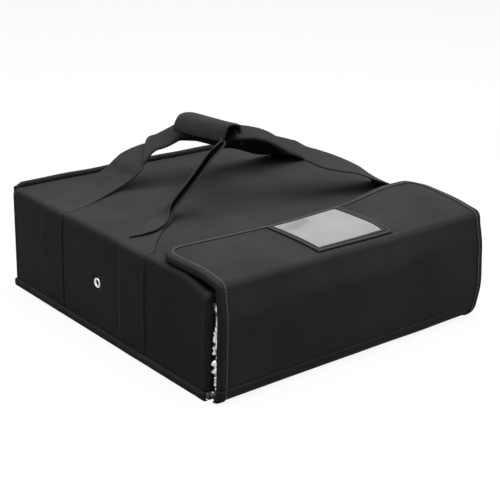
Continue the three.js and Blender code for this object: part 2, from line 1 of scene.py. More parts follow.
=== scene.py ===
"""The look of an insulated pizza delivery bag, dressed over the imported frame.

Each cloth, foil, foam, tape or webbing piece is a flat cut in metres, which a function lays in
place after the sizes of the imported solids.
"""

import logging
import math
from dataclasses import dataclass
from enum import Enum
from typing import Any, Callable, Iterable, Optional, Sequence, Union

import bmesh
import bpy
from mathutils import Matrix, Vector, noise


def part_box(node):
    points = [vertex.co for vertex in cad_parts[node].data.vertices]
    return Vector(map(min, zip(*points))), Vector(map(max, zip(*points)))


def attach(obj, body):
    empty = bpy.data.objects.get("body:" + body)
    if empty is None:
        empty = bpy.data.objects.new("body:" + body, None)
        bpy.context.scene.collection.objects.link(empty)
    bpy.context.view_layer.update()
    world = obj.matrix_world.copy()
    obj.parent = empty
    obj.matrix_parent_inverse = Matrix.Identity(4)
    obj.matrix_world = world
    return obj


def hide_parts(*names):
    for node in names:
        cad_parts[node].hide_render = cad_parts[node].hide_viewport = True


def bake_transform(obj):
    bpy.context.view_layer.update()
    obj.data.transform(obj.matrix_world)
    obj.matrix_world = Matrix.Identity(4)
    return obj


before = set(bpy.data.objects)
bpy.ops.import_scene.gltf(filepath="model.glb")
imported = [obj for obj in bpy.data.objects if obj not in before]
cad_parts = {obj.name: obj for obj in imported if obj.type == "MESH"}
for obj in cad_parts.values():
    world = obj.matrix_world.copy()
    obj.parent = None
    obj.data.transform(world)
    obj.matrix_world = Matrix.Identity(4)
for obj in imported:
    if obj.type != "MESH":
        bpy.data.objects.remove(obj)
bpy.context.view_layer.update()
log = logging.getLogger("bag")

Place = Callable[[float, float], Vector]
Pair = tuple[float, float]
Triple = tuple[float, float, float]
Box = tuple[Vector, Vector]
Socket = bpy.types.NodeSocket
Piece = bpy.types.Object

SIDES = ((-1, "left"), (1, "right"))
NEAR = 1e-6

# Thicknesses, and the depth and width of the foil's creases, in metres.
CLOTH_WALL = 0.0008
THIN_WALL = 0.0006
TAPE_WALL = 0.0007
FOAM_WALL = 0.0042
FOIL_WALL = 0.0004
LOOSE_FOIL_WALL = 0.0003
CREASE = 0.0003
PANEL_CREASE = 0.0002
CREASE_WIDTH = 0.022


class Slot(Enum):
    """The record's material slots."""

    CLOTH = "cloth"
    TAPE = "tape"
    WEBBING = "webbing"
    FOAM = "foam"
    LINING = "lining"
    HOOK = "hook"
    METAL = "metal"
    WINDOW = "window"


def clamp(value: float) -> float:
    """The value, held between 0 and 1."""
    return min(1.0, max(0.0, value))


def ease(low: float, high: float, value: float) -> float:
    """Smooth step of value from 0 at low to 1 at high."""
    share = clamp((value - low) / (high - low))
    return share * share * (3 - 2 * share)


def mix(a: float, b: float, share: float) -> float:
    """The value that lies share of the way from a to b."""
    return a + (b - a) * share


def hump(centre: float, width: float, value: float) -> float:
    """A bell of height 1 round centre."""
    return math.exp(-(((value - centre) / width) ** 2))


def ripple(x: float, y: float, z: float) -> float:
    """Soft noise from about -1 to 1."""
    return noise.noise(Vector((x, y, z)))


def crinkle(point: Vector, pitch: float, seed: float) -> float:
    """Sharp little facets, as in creased foil.

    Args:
        point: the place.
        pitch: the facets' width.
        seed: sets one crinkle apart from another.

    Returns:
        The height, from -1 to 1.
    """
    spot = Vector(point) / pitch + Vector((seed, seed * 1.7, seed * 0.6))
    near, second = noise.voronoi(spot)[0][:2]
    return 2 * min(1.0, second - near) - 1


def runs(*parts: tuple[float, float, int]) -> tuple[float, ...]:
    """Joins runs of even steps into one list of values.

    Args:
        parts: start, end and number of steps of each run.

    Returns:
        The values, each run's last one shared with the next run's first.
    """
    values: list[float] = []
    for start, end, steps in parts:
        values += [mix(start, end, k / steps) for k in range(steps)]
    return (*values, parts[-1][1])


def lengths(points: Sequence[Sequence[float]]) -> list[float]:
    """The way along a line of points to each of them.

    Args:
        points: the points.

    Returns:
        The way to each, with no step of 0.
    """
    way = [0.0]
    for a, b in zip(points, points[1:]):
        way.append(way[-1] + max(1e-5, math.dist(a, b)))
    return way


def outline(points: Sequence[Sequence[float]], start: float = 0.0) -> dict[float, Sequence[float]]:
    """Points by the way along the line through them, counted from start."""
    return {way - start: point for way, point in zip(lengths(points), points)}


def spline(values: Sequence[Any], t: float) -> Any:
    """The smooth curve through four numbers or vectors.

    Args:
        values: the four.
        t: the share of the way from the second to the third.

    Returns:
        The value there.
    """
    a, b, c, d = values
    return 0.5 * (
        2 * b + (c - a) * t + (2 * a - 5 * b + 4 * c - d) * t * t + (3 * b - a - 3 * c + d) * t**3
    )


def make_object(name: str, mesh: bmesh.types.BMesh) -> Piece:
    """Turns a bmesh into a smooth object of the scene.

    Args:
        name: the piece's name.
        mesh: the bmesh, which is freed.

    Returns:
        The new object, at the origin.
    """
    data = bpy.data.meshes.new(name)
    for face in mesh.faces:
        face.smooth = True
    mesh.to_mesh(data)
    mesh.free()
    made = bpy.data.objects.new(name, data)
    bpy.context.collection.objects.link(made)
    return made


@dataclass(frozen=True)
class Cut:
    """A flat cut of cloth: lines across and along it in metres, and round holes."""

    across: tuple[float, ...]
    along: tuple[float, ...]
    holes: tuple[Triple, ...] = ()

    def build(self, name: str, place: Place, flip: bool = False) -> Piece:
        """Makes the cut's grid and lays it in place.

        Args:
            name: the piece's name.
            place: gives the point in space for a place on the cut.
            flip: turns the faces round.

        Returns:
            The piece, with its UV map in metres on the cut.
        """
        columns, rows = len(self.across) - 1, len(self.along) - 1
        mesh = bmesh.new()
        layer = mesh.loops.layers.uv.new("cut")
        bmesh.ops.create_grid(mesh, x_segments=columns, y_segments=rows, size=0.5)
        low = min(vertex.co.x for vertex in mesh.verts)
        spots = {
            vertex: (
                self.across[round((vertex.co.x / low - 1) / -2 * columns)],
                self.along[round((vertex.co.y / low - 1) / -2 * rows)],
            )
            for vertex in mesh.verts
        }
        for hole in self.holes:
            self._open(mesh, spots, hole)
        for face in mesh.faces:
            for loop in face.loops:
                loop[layer].uv = spots[loop.vert]
        for vertex in mesh.verts:
            vertex.co = place(*spots[vertex])
        if flip:
            bmesh.ops.reverse_faces(mesh, faces=mesh.faces)
        return make_object(name, mesh)

    @staticmethod
    def _open(
        mesh: bmesh.types.BMesh, spots: dict[bmesh.types.BMVert, Pair], hole: Triple
    ) -> None:
        """Takes out the four faces round a place and rounds the hole that is left.

        Args:
            mesh: the cut's grid.
            spots: the place of each vertex on the cut.
            hole: the hole's place across and along the cut, and its radius.
        """
        u, v, radius = hole
        middle = []
        for vertex, (a, b) in spots.items():
            far_u, far_v = a - u, b - v
            if abs(far_u) < NEAR and abs(far_v) < NEAR:
                middle.append(vertex)
            elif abs(abs(far_u) - radius) < NEAR and abs(abs(far_v) - radius) < NEAR:
                share = math.sqrt(0.5)
                spots[vertex] = (u + far_u * share, v + far_v * share)
        for vertex in middle:
            del spots[vertex]
        bmesh.ops.delete(mesh, geom=middle, context="VERTS")


# ---------------------------------------------------------------- finishes


class Nodes:
    """A short hand for the nodes of a material or a world."""

    def __init__(self, owner: Union[bpy.types.Material, bpy.types.World], shader: str) -> None:
        """Starts the nodes of a material or a world.

        Args:
            owner: the material or world.
            shader: the name of its shader node.
        """
        owner.use_nodes = True
        self.owner = owner
        self.tree = owner.node_tree
        self.shader = self.tree.nodes[shader]

    def set(self, node: bpy.types.Node, **settings: object) -> bpy.types.Node:
        """Sets a node's properties or inputs.

        Args:
            node: the node.
            settings: properties by name, or inputs by name with spaces as underscores.

        Returns:
            The node.
        """
        for key, value in settings.items():
            if hasattr(node, key):
                setattr(node, key, value)
            else:
                node.inputs[key.replace("_", " ")].default_value = value
        return node

    def add(self, kind: str, **settings: object) -> bpy.types.Node:
        """Adds a node with those settings."""
        return self.set(self.tree.nodes.new(kind), **settings)

    def link(self, output: Socket, target: Union[Socket, str]) -> None:
        """Joins an output to an input.

        Args:
            output: the output.
            target: the input, or the name of one of the shader's.
        """
        if isinstance(target, str):
            target = self.shader.inputs[target]
        self.tree.links.new(output, target)

    def math(self, operation: str, *values: Union[Socket, float]) -> Socket:
        """Adds a Math node.

        Args:
            operation: the node's operation.
            values: its inputs, sockets or numbers.

        Returns:
            The node's output.
        """
        node = self.add("ShaderNodeMath", operation=operation)
        for socket, value in zip(node.inputs, values):
            if isinstance(value, Socket):
                self.link(value, socket)
            else:
                socket.default_value = value
        return node.outputs[0]

    def wave(self, value: Socket, turn: float) -> Socket:
        """The sine of a value times turn."""
        return self.math("SINE", self.math("MULTIPLY", value, turn))

    def cut_axes(self) -> tuple[Socket, Socket]:
        """The place across and along the cut, in metres.

        Returns:
            The sockets of both.
        """
        flat = self.add("ShaderNodeUVMap", uv_map="cut")
        parts = self.add("ShaderNodeSeparateXYZ")
        self.link(flat.outputs["UV"], parts.inputs[0])
        return parts.outputs["X"], parts.outputs["Y"]

    def texture(self, kind: str, **settings: object) -> bpy.types.Node:
        """Adds a texture on Object coordinates.

        Args:
            kind: the node's type.
            settings: its properties and inputs.

        Returns:
            The node.
        """
        node = self.add(kind, **settings)
        self.link(self.add("ShaderNodeTexCoord").outputs["Object"], node.inputs["Vector"])
        return node

    def cloud(self, scale: float, detail: float = 3.0) -> Socket:
        """Soft noise, about 0.5 at its middle."""
        return self.texture("ShaderNodeTexNoise", Scale=scale, Detail=detail).outputs["Fac"]

    def mix(self, share: Socket, first: Union[Socket, Triple], second: Triple) -> Socket:
        """Mixes two colours.

        Args:
            share: 0 for the first colour, 1 for the second.
            first: the first colour, or its socket.
            second: the second colour.

        Returns:
            The colour's socket.
        """
        node = self.add("ShaderNodeMix", data_type="RGBA")
        if isinstance(first, Socket):
            self.link(first, node.inputs["A"])
        else:
            node.inputs["A"].default_value = (*first, 1)
        node.inputs["B"].default_value = (*second, 1)
        self.link(share, node.inputs["Factor"])
        return node.outputs["Result"]

    def bump(self, height: Socket, depth: float) -> None:
        """Gives the shader a bump.

        Args:
            height: the relief, from 0 to 1.
            depth: its depth in metres.
        """
        node = self.add("ShaderNodeBump", Distance=depth)
        self.link(height, node.inputs["Height"])
        self.link(node.outputs["Normal"], "Normal")

    def seen(self) -> Socket:
        """Tells what is looked at from what lights.

        Returns:
            1 for rays from the camera, off gloss or through clear things, and 0 for light.
        """
        path = self.add("ShaderNodeLightPath")
        value = path.outputs["Is Camera Ray"]
        for name in ("Is Glossy Ray", "Is Transmission Ray"):
            value = self.math("MAXIMUM", value, path.outputs[name])
        return value


@dataclass(frozen=True)
class Finish:
    """What all finishes share: a name, a dark and a light tone, and the gloss."""

    name: str
    dark: Triple
    light: Triple
    rough: float
    gloss: float = 0.3

    def material(self) -> bpy.types.Material:
        """Makes the material.

        Returns:
            The material, with its gloss and colour.
        """
        nodes = Nodes(bpy.data.materials.new(self.name), "Principled BSDF")
        nodes.set(nodes.shader, Roughness=self.rough, Specular_IOR_Level=self.gloss)
        nodes.link(self.colour(nodes), "Base Color")
        return nodes.owner

    def colour(self, nodes: Nodes) -> Socket:
        """Makes the colour, and on the way the relief."""
        raise NotImplementedError


@dataclass(frozen=True)
class Woven(Finish):
    """A plain weave of coated polyester, softly worn and slightly clouded."""

    pitch: float = 0.0009
    sheen: float = 0.02
    weave: float = 0.18
    clouding: float = 0.9
    specks: float = 0.5
    relief: float = 0.00022

    def colour(self, nodes: Nodes) -> Socket:
        """Weave, clouds and specks, over a relief of weave and soft folds.

        Args:
            nodes: the material's nodes.

        Returns:
            The colour.
        """
        across, along = nodes.cut_axes()
        turn = math.pi / self.pitch
        crossing = nodes.math("MULTIPLY", nodes.wave(across, turn), nodes.wave(along, turn))
        weave = nodes.math("MULTIPLY_ADD", crossing, 0.5, 0.5)
        clouds = nodes.math("MULTIPLY", nodes.cloud(14.0), self.clouding)
        tone = nodes.math("MULTIPLY_ADD", weave, self.weave, clouds)
        speck = nodes.math("SUBTRACT", nodes.cloud(900.0, 2.0), 0.5)
        tone = nodes.math("MULTIPLY_ADD", speck, self.specks, tone)
        nodes.set(nodes.shader, Sheen_Weight=self.sheen, Sheen_Roughness=0.5)
        fold = nodes.math("MULTIPLY", nodes.cloud(60.0, 4.0), 3.0)
        nodes.bump(nodes.math("MULTIPLY_ADD", weave, 0.5, fold), self.relief)
        return nodes.mix(tone, self.dark, self.light)


@dataclass(frozen=True)
class Ribbed(Finish):
    """Webbing or tape: ribs along its length, fine picks across, paler towards its edges."""

    rib: float = 0.0016
    pick: float = 0.0012
    half_width: float = 0.025
    # The colour the webbing or tape turns towards its edges.
    edge_tone: Triple = (0.035, 0.035, 0.036)
    relief: float = 0.0003

    def colour(self, nodes: Nodes) -> Socket:
        """Clouds and ribs, paler towards the edges.

        Args:
            nodes: the material's nodes.

        Returns:
            The colour.
        """
        across, along = nodes.cut_axes()
        picks = nodes.math("MULTIPLY_ADD", nodes.wave(along, math.tau / self.pick), 0.15, 0.5)
        height = nodes.math("MULTIPLY_ADD", nodes.wave(across, math.tau / self.rib), 0.4, picks)
        tone = nodes.math("MULTIPLY", height, 0.4)
        tone = nodes.math("MULTIPLY_ADD", nodes.cloud(30.0), 0.6, tone)
        # Share of the edge colour: none over the middle, rising steeply near the edges.
        edge = nodes.math("DIVIDE", nodes.math("ABSOLUTE", across), self.half_width)
        edge = nodes.math("POWER", nodes.math("MINIMUM", edge, 1.0), 14.0)
        nodes.bump(height, self.relief)
        return nodes.mix(edge, nodes.mix(tone, self.dark, self.light), self.edge_tone)


@dataclass(frozen=True)
class Foil(Finish):
    """Bright foil lining with fine creases."""

    def colour(self, nodes: Nodes) -> Socket:
        """Clouded metal over creased facets.

        Args:
            nodes: the material's nodes.

        Returns:
            The colour.
        """
        nodes.set(nodes.shader, Metallic=0.8)
        facets = nodes.texture("ShaderNodeTexVoronoi", feature="SMOOTH_F1", Scale=160.0)
        cloud = nodes.cloud(45.0, 5.0)
        soft = nodes.math("MULTIPLY", cloud, 2.0)
        nodes.bump(nodes.math("MULTIPLY_ADD", facets.outputs["Distance"], 0.6, soft), 0.0012)
        return nodes.mix(cloud, self.dark, self.light)


@dataclass(frozen=True)
class Grainy(Finish):
    """A fine irregular grain: foam cells, or the pile of a fastener."""

    grain: float = 700.0
    relief: float = 0.0004

    def colour(self, nodes: Nodes) -> Socket:
        """The grain, in tone and relief.

        Args:
            nodes: the material's nodes.

        Returns:
            The colour.
        """
        cloud = nodes.cloud(self.grain)
        nodes.bump(cloud, self.relief)
        return nodes.mix(cloud, self.dark, self.light)


@dataclass(frozen=True)
class Nickel(Finish):
    """Bright plated metal with faint rubbing."""

    def colour(self, nodes: Nodes) -> Socket:
        """Clouded metal, rougher where it is paler.

        Args:
            nodes: the material's nodes.

        Returns:
            The colour.
        """
        nodes.set(nodes.shader, Metallic=1.0)
        cloud = nodes.cloud(260.0, 4.0)
        nodes.link(nodes.math("MULTIPLY_ADD", cloud, 0.25, self.rough - 0.1), "Roughness")
        return nodes.mix(cloud, self.dark, self.light)


@dataclass(frozen=True)
class Vinyl(Finish):
    """Milky clear sheet with soft clouding and slight waves."""

    def colour(self, nodes: Nodes) -> Socket:
        """Soft clouds under a clear coat.

        Args:
            nodes: the material's nodes.

        Returns:
            The colour.
        """
        nodes.set(nodes.shader, Coat_Weight=0.3, Coat_Roughness=0.08)
        nodes.bump(nodes.cloud(35.0, 1.0), 0.0008)
        return nodes.mix(nodes.cloud(22.0, 2.0), self.dark, self.light)


def grey(tone: float) -> Triple:
    """An even grey."""
    return (tone, tone, tone)


CLOTH = Woven("woven_polyester", (0.015, 0.015, 0.0155), (0.037, 0.037, 0.0375), 0.7, 0.03)
TAPE = Ribbed(
    "binding_tape", (0.016, 0.016, 0.0165), (0.042, 0.042, 0.043), 0.7, 0.03,
    rib=0.0011, half_width=0.0095,
)
WEBBING = Ribbed("ribbed_webbing", grey(0.015), grey(0.047), 0.7, 0.03, rib=0.0028)
FOIL = Foil("crinkled_foil", (0.5, 0.51, 0.53), (0.86, 0.87, 0.89), 0.24)
FOAM = Grainy("closed_cell_foam", (0.5, 0.5, 0.49), (0.75, 0.75, 0.74), 0.9)
PILE = Grainy("fastener_pile", grey(0.004), grey(0.03), 0.95, 0.1, relief=0.0012)
NICKEL = Nickel("plated_eyelet", (0.55, 0.55, 0.54), (0.8, 0.8, 0.79), 0.25)
VINYL = Vinyl("milky_vinyl", (0.175, 0.183, 0.188), (0.23, 0.238, 0.243), 0.2, 0.4)
THREAD = Grainy("sewing_thread", grey(0.03), grey(0.06), 0.7, grain=2500.0, relief=0.0001)
PALE_THREAD = Grainy("pale_thread", grey(0.12), grey(0.3), 0.7, grain=2500.0, relief=0.0001)


@dataclass(frozen=True)
class Stitching:
    """Runs of small thread dashes."""

    pitch: float = 0.0034
    length: float = 0.0023
    radius: float = 0.00042

    def build(self, name: str, lines: Iterable[Sequence[Vector]]) -> Piece:
        """Lays dashes along lines.

        Args:
            name: the piece's name.
            lines: the points of each line of stitches, close together.

        Returns:
            The dashes as one piece.
        """
        mesh = bmesh.new()
        for line in lines:
            walked, due = 0.0, self.pitch / 2
            for start, end in zip(line, line[1:]):
                step = (end - start).length
                while step > 1e-9 and walked + step >= due:
                    self._dash(mesh, start.lerp(end, (due - walked) / step), end - start)
                    due += self.pitch
                walked += step
        return make_object(name, mesh)

    def _dash(self, mesh: bmesh.types.BMesh, centre: Vector, along: Vector) -> None:
        """Adds one dash.

        Args:
            mesh: the bmesh it goes into.
            centre: its middle.
            along: its direction.
        """
        turn = along.to_track_quat("X", "Z").to_matrix().to_4x4()
        size = Matrix.Diagonal((self.length / 2, self.radius, self.radius, 1))
        bmesh.ops.create_icosphere(
            mesh, subdivisions=1, radius=1, matrix=Matrix.Translation(centre) @ turn @ size
        )


class Wardrobe:
    """Makes each finish's material once and dresses the pieces."""

    def __init__(self) -> None:
        """Starts with no material made."""
        self.made: dict[str, bpy.types.Material] = {}
        self.count = 0

    def dress(
        self, piece: Piece, finish: Finish, slot: Slot, body: Optional[str] = "root",
        nodes: Sequence[str] = (), thick: float = 0.0,
    ) -> Piece:
        """Gives a piece its wall, its material and its body, and hides the CAD nodes it stands
        for.

        Args:
            piece: the piece.
            finish: its finish.
            slot: the record's slot for the finish; not used.
            body: the body it rides on, or None for a piece left on no body.
            nodes: the CAD nodes it replaces.
            thick: the wall's thickness behind the faces.

        Returns:
            The piece.
        """
        if thick:
            wall = piece.modifiers.new("wall", "SOLIDIFY")
            wall.thickness = thick
            wall.offset = -1
        if finish.name not in self.made:
            self.made[finish.name] = finish.material()
        piece.data.materials.append(self.made[finish.name])
        if nodes:
            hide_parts(*nodes)
        if body:
            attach(piece, body)
        self.count += 1
        log.info("%s: %d faces, %s", piece.name, len(piece.data.polygons), finish.name)
        return piece

    def sew(
        self, name: str, lines: Iterable[Sequence[Vector]], finish: Finish = THREAD,
        slot: Slot = Slot.TAPE, body: Optional[str] = "root",
    ) -> Piece:
        """Makes and dresses a piece of stitches.

        Args:
            name: the piece's name.
            lines: the points of each line of stitches.
            finish: the thread.
            slot: the record's slot for it.
            body: the body it rides on, or None for stitches left on no body.

        Returns:
            The stitches.
        """
        return self.dress(Stitching().build(name, lines), finish, slot, body)


# ---------------------------------------------------------------- the body


@dataclass(frozen=True)
class BodyShape:
    """The padded body's sizes, and the way its soft walls settle."""

    half_width: float
    mouth: float
    back: float
    height: float
    edge: float = 0.005
    sag: float = 0.0035
    belly: float = 0.0016
    swell: float = 0.003
    wave: float = 0.0012
    ripple: float = 0.0011
    dent: float = 0.0016
    corner_drop: float = 0.010
    mouth_setback: float = 0.006

    @classmethod
    def from_frame(cls) -> "BodyShape":
        """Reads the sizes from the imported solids.

        Returns:
            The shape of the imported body.
        """
        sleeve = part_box("sleeve_outer")[1]
        mouth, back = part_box("mouth_binding")[0].y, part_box("back_outer")[1].y
        return cls(sleeve.x, mouth, back, sleeve.z)

    def settle(self, point: Vector) -> Vector:
        """Moves a point of the stiff body to where the soft one has it.

        Args:
            point: a point on any layer of the body, or on what is sewn to it.

        Returns:
            The point after the walls have sagged and bulged.
        """
        x, y, z = point
        across = x / self.half_width
        along = (y - (self.mouth + self.back) / 2) / ((self.back - self.mouth) / 2)
        up = z / self.height
        top = ease(0.5, 1.0, up)
        side = ease(0.88, 1.0, abs(across))
        sign = 1.0 if x > 0 else -1.0
        middle_x, middle_y = max(0.0, 1 - across * across), max(0.0, 1 - along * along)
        flat = middle_x * middle_y
        rise = -self.sag * flat + self.ripple * ripple(x * 11, y * 11, 0.7) * (0.3 + flat)
        arch = math.sin(math.pi * clamp(up))
        wall = middle_y * arch
        out = self.belly * wall + self.wave * ripple(sign * 3.1, y * 13, z * 16) * wall
        near = 1 - ease(0.0, 0.05, y - self.mouth)
        left = 1 - ease(0.0, 0.075, x + self.half_width)
        creased = ripple(x * 70, y * 70, z * 50)
        drop = near * left * (self.corner_drop + self.dent * creased)
        setback = (1 - ease(0.0, 0.09, y - self.mouth)) * left * (1 - 0.35 * top)
        rear = ease(0.93, 1.0, along) * middle_x
        return Vector(
            (
                x + sign * side * out + near * left * 0.001 * creased,
                y + self.mouth_setback * setback + rear * self.swell * arch,
                z + top * (rise - drop),
            )
        )

    @staticmethod
    def girth_places(half: Sequence[float]) -> tuple[float, ...]:
        """Places over the whole girth, from those of its left half."""
        return (*half, *(5 - place for place in reversed(half[:-1])))

    def girth(self, place: float, inset: float) -> tuple[float, float, float, float]:
        """A point on the girth over left wall, top and right wall.

        Args:
            place: 0 to 1 up the left wall, to 2 round its edge, to 3 over the top,
                to 4 round the right edge and to 5 down the right wall.
            inset: how far inside the outer cloth the layer lies.

        Returns:
            x, z and the outward direction's x and z.
        """
        if place > 2.5:
            x, z, nx, nz = self.girth(5 - place, inset)
            return -x, z, -nx, nz
        radius = max(self.edge - inset, 0.0006)
        left, top = self.half_width - inset, self.height - inset
        if place <= 1:
            return -left, (top - radius) * place, -1, 0
        if place <= 2:
            turn = (place - 1) * math.pi / 2
            a, b = math.cos(turn), math.sin(turn)
            return -left + radius * (1 - a), top - radius * (1 - b), -a, b
        return mix(-left + radius, 0, (place - 2) * 2), top, 0, 1

    def girth_length(self, place: float) -> float:
        """Measures along the outer cloth.

        Args:
            place: the place on the girth, from 0 to 5.

        Returns:
            The way to it from the left foot.
        """
        wall, corner = self.height - self.edge, self.edge * math.pi / 2
        top = 2 * (self.half_width - self.edge)
        parts = (wall, corner, top, corner, wall)
        return sum(length * clamp(place - k) for k, length in enumerate(parts))


@dataclass(frozen=True)
class Body:
    """The padded box: sleeve, floor and back, each of cloth, foam and foil, and its tapes."""

    shape: BodyShape
    wardrobe: Wardrobe
    cloth_hole: float = 0.0045
    foam_hole: float = 0.0055

    @property
    def eyelet(self) -> Vector:
        """The left eyelet's centre."""
        low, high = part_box("left_eyelet")
        return (low + high) / 2

    def build(self) -> None:
        """Makes every piece of the body."""
        self.sleeve()
        self.floor()
        self.rear()
        self.boards()
        self.mouth_tape()
        self.floor_tapes()
        self.back_tapes()
        self.loop_patches()

    def layer(self, name: str, node: str, crease: float = 0.0) -> Piece:
        """One cloth or foil layer over the girth, with the vent holes.

        Args:
            name: the piece's name.
            node: the CAD node whose outer face it follows.
            crease: the depth of its creases.

        Returns:
            The layer.
        """
        shape, eyelet, hole = self.shape, self.eyelet, self.cloth_hole
        low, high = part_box(node)
        inset = shape.half_width - high.x
        wall = shape.height - shape.edge
        vent, step = eyelet.z / wall, hole / wall
        places = shape.girth_places(runs(
            (low.z / wall, vent - step, 10), (vent - step, vent, 1), (vent, vent + step, 1),
            (vent + step, 1, 10), (1, 2, 5), (2, 2.5, 26),
        ))
        spot = {shape.girth_length(p): p for p in places}
        front = low.y + 0.06
        along = runs(
            (low.y, front, 20), (front, eyelet.y - hole, 20), (eyelet.y - hole, eyelet.y, 1),
            (eyelet.y, eyelet.y + hole, 1), (eyelet.y + hole, high.y, 26),
        )

        def place(u: float, v: float) -> Vector:
            """Lays the layer on the girth.

            Args:
                u: place across the cut.
                v: place along the cut.

            Returns:
                The point in space.
            """
            nearest = u if u in spot else min(spot, key=lambda known: abs(known - u))
            x, z, nx, nz = shape.girth(spot[nearest], inset)
            depth = crease * crinkle(Vector((x, v, z)), CREASE_WIDTH, 2.0)
            return shape.settle(Vector((x - nx * depth, v, z - nz * depth)))

        vents = tuple((shape.girth_length(p), eyelet.y, hole) for p in (vent, 5 - vent))
        return Cut(tuple(spot), along, vents).build(name, place, flip=True)

    def sleeve(self) -> None:
        """The outer cloth and the foil over both walls and the top."""
        shape, dress = self.shape, self.wardrobe.dress
        low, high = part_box("sleeve_outer")
        cloth = self.layer("sleeve_cloth", "sleeve_outer")
        dress(cloth, CLOTH, Slot.CLOTH, nodes=["sleeve_outer"], thick=CLOTH_WALL)
        width = shape.girth_length(5) - 2 * low.z
        low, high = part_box("sleeve_lining")
        foil = self.layer("sleeve_foil", "sleeve_lining", CREASE)
        dress(foil, FOIL, Slot.LINING, nodes=["sleeve_lining"], thick=FOIL_WALL)
        width += 0.02 - 8 * (shape.half_width - high.x)

    def panel(
        self, name: str, box: Box, upright: bool, steps: tuple[int, int], crease: float = 0.0,
        outer: bool = True,
    ) -> Piece:
        """A panel of the floor or the back, on one face of a CAD solid's box.

        Args:
            name: the piece's name.
            box: the solid's low and high corner.
            upright: True for the back, False for the floor.
            steps: grid steps across and along.
            crease: the depth of its creases.
            outer: True for the face that looks out of the bag.

        Returns:
            The panel.
        """
        low, high = box
        rows = (low.z, high.z) if upright else (low.y, high.y)

        def place(u: float, v: float) -> Vector:
            """Lays the panel on the box's face.

            Args:
                u: place across the cut.
                v: place along the cut.

            Returns:
                The point in space.
            """
            if upright:
                point = Vector((u, high.y if outer else low.y, v))
                point.y += crease * crinkle(point, CREASE_WIDTH, 5.0)
            else:
                point = Vector((u, v, low.z if outer else high.z))
                point.z -= crease * (1 + crinkle(point, CREASE_WIDTH, 7.0))
            return self.shape.settle(point)

        cut = Cut(runs((low.x, high.x, steps[0])), runs((*rows, steps[1])))
        return cut.build(name, place, flip=outer)

    def floor(self) -> None:
        """The floor's cloth and foil."""
        dress = self.wardrobe.dress
        low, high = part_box("floor_outer")
        low = Vector((low.x, self.shape.mouth, low.z))
        cloth = self.panel("floor_cloth", (low, high), False, (40, 40))
        dress(cloth, CLOTH, Slot.CLOTH, nodes=["floor_outer"], thick=CLOTH_WALL)
        low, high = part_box("floor_lining")
        foil = self.panel("floor_foil", (low, high), False, (80, 80), PANEL_CREASE, outer=False)
        dress(foil, FOIL, Slot.LINING, nodes=["floor_lining"], thick=FOIL_WALL)

    def rear(self) -> None:
        """The back panel's cloth and foil."""
        for name, node, finish, slot, steps, crease in (
            ("back_cloth", "back_outer", CLOTH, Slot.CLOTH, (60, 20), 0.0),
            ("back_foil", "back_lining", FOIL, Slot.LINING, (80, 26), PANEL_CREASE),
        ):
            low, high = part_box(node)
            piece = self.panel(name, (low, high), True, steps, crease, finish is CLOTH)
            self.wardrobe.dress(piece, finish, slot, nodes=[node], thick=THIN_WALL)

    def boards(self) -> None:
        """The foam boards between cloth and foil."""
        eyelet, r = self.eyelet, self.foam_hole
        for word, axis, outside in (
            ("top", 2, 1), ("floor", 2, -1), ("left", 0, -1), ("right", 0, 1), ("back", 1, 1),
        ):
            low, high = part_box(f"{word}_foam")
            axes = [k for k in range(3) if k != axis]
            holes: tuple[Triple, ...] = ()
            lines = [runs((low[k], high[k], 36)) for k in axes]
            if axis == 0:
                y, z = eyelet.y, eyelet.z
                lines = [
                    runs((low.y, y - r, 18), (y - r, y, 1), (y, y + r, 1), (y + r, high.y, 16)),
                    runs((low.z, z - r, 6), (z - r, z, 1), (z, z + r, 1), (z + r, high.z, 6)),
                ]
                holes = ((y, z, r),)
            face = (high if outside > 0 else low)[axis] - outside * 0.0002

            def place(u: float, v: float) -> Vector:
                """Lays the board's outer face.

                Args:
                    u: place across the cut.
                    v: place along the cut.

                Returns:
                    The point in space.
                """
                point = Vector((0, 0, 0))
                point[axis], point[axes[0]], point[axes[1]] = face, u, v
                return self.shape.settle(point)

            flip = (outside < 0) != (axis == 1)
            piece = Cut(lines[0], lines[1], holes).build(f"{word}_board", place, flip=flip)
            nodes = [f"{word}_foam"]
            self.wardrobe.dress(piece, FOAM, Slot.FOAM, nodes=nodes, thick=FOAM_WALL)

    def mouth_tape(self) -> None:
        """The binding round the mouth, folded over the edge of all the layers."""
        shape = self.shape
        low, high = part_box("mouth_binding")
        proud, inner = high.x - shape.half_width, 0.0083
        profile = (
            (proud * 0.7, high.y), (proud, high.y - 0.0012), (proud, low.y + 0.0032),
            (proud * 0.6, low.y + 0.0008), (-0.0012, low.y), (-inner + 0.002, low.y),
            (-inner + 0.0004, low.y + 0.001), (-inner, low.y + 0.003), (-inner, high.y),
        )
        around = outline(profile, lengths(profile)[-1] / 2)
        foot = low.z / (shape.height - shape.edge)
        places = shape.girth_places(runs((foot, 1, 26), (1, 2, 8), (2, 2.5, 32)))
        spot = {shape.girth_length(p): p for p in places}

        def place(u: float, v: float) -> Vector:
            """Lays the tape round the mouth.

            Args:
                u: place across the cut.
                v: place along the cut.

            Returns:
                The point in space.
            """
            offset, y = around[u]
            x, z, nx, nz = shape.girth(spot[v], 0.0)
            if offset < -shape.edge and nx and nz:
                x, z, nx, nz = *shape.girth(spot[v], -offset)[:2], 0, 0
            out = offset + 0.0004 * ripple(x * 60, y * 60, z * 60)
            return shape.settle(Vector((x + nx * out, y, z + nz * out)))

        tape = Cut(tuple(around), tuple(spot)).build("mouth_tape", place)
        self.wardrobe.dress(tape, TAPE, Slot.TAPE, nodes=["mouth_binding"], thick=TAPE_WALL)
        over = proud + 0.0002
        self.wardrobe.sew("mouth_stitches", [[
            shape.settle(Vector((x + nx * over, high.y - 0.002, z + nz * over)))
            for x, z, nx, nz in (shape.girth(p, 0.0) for p in places)
        ]])

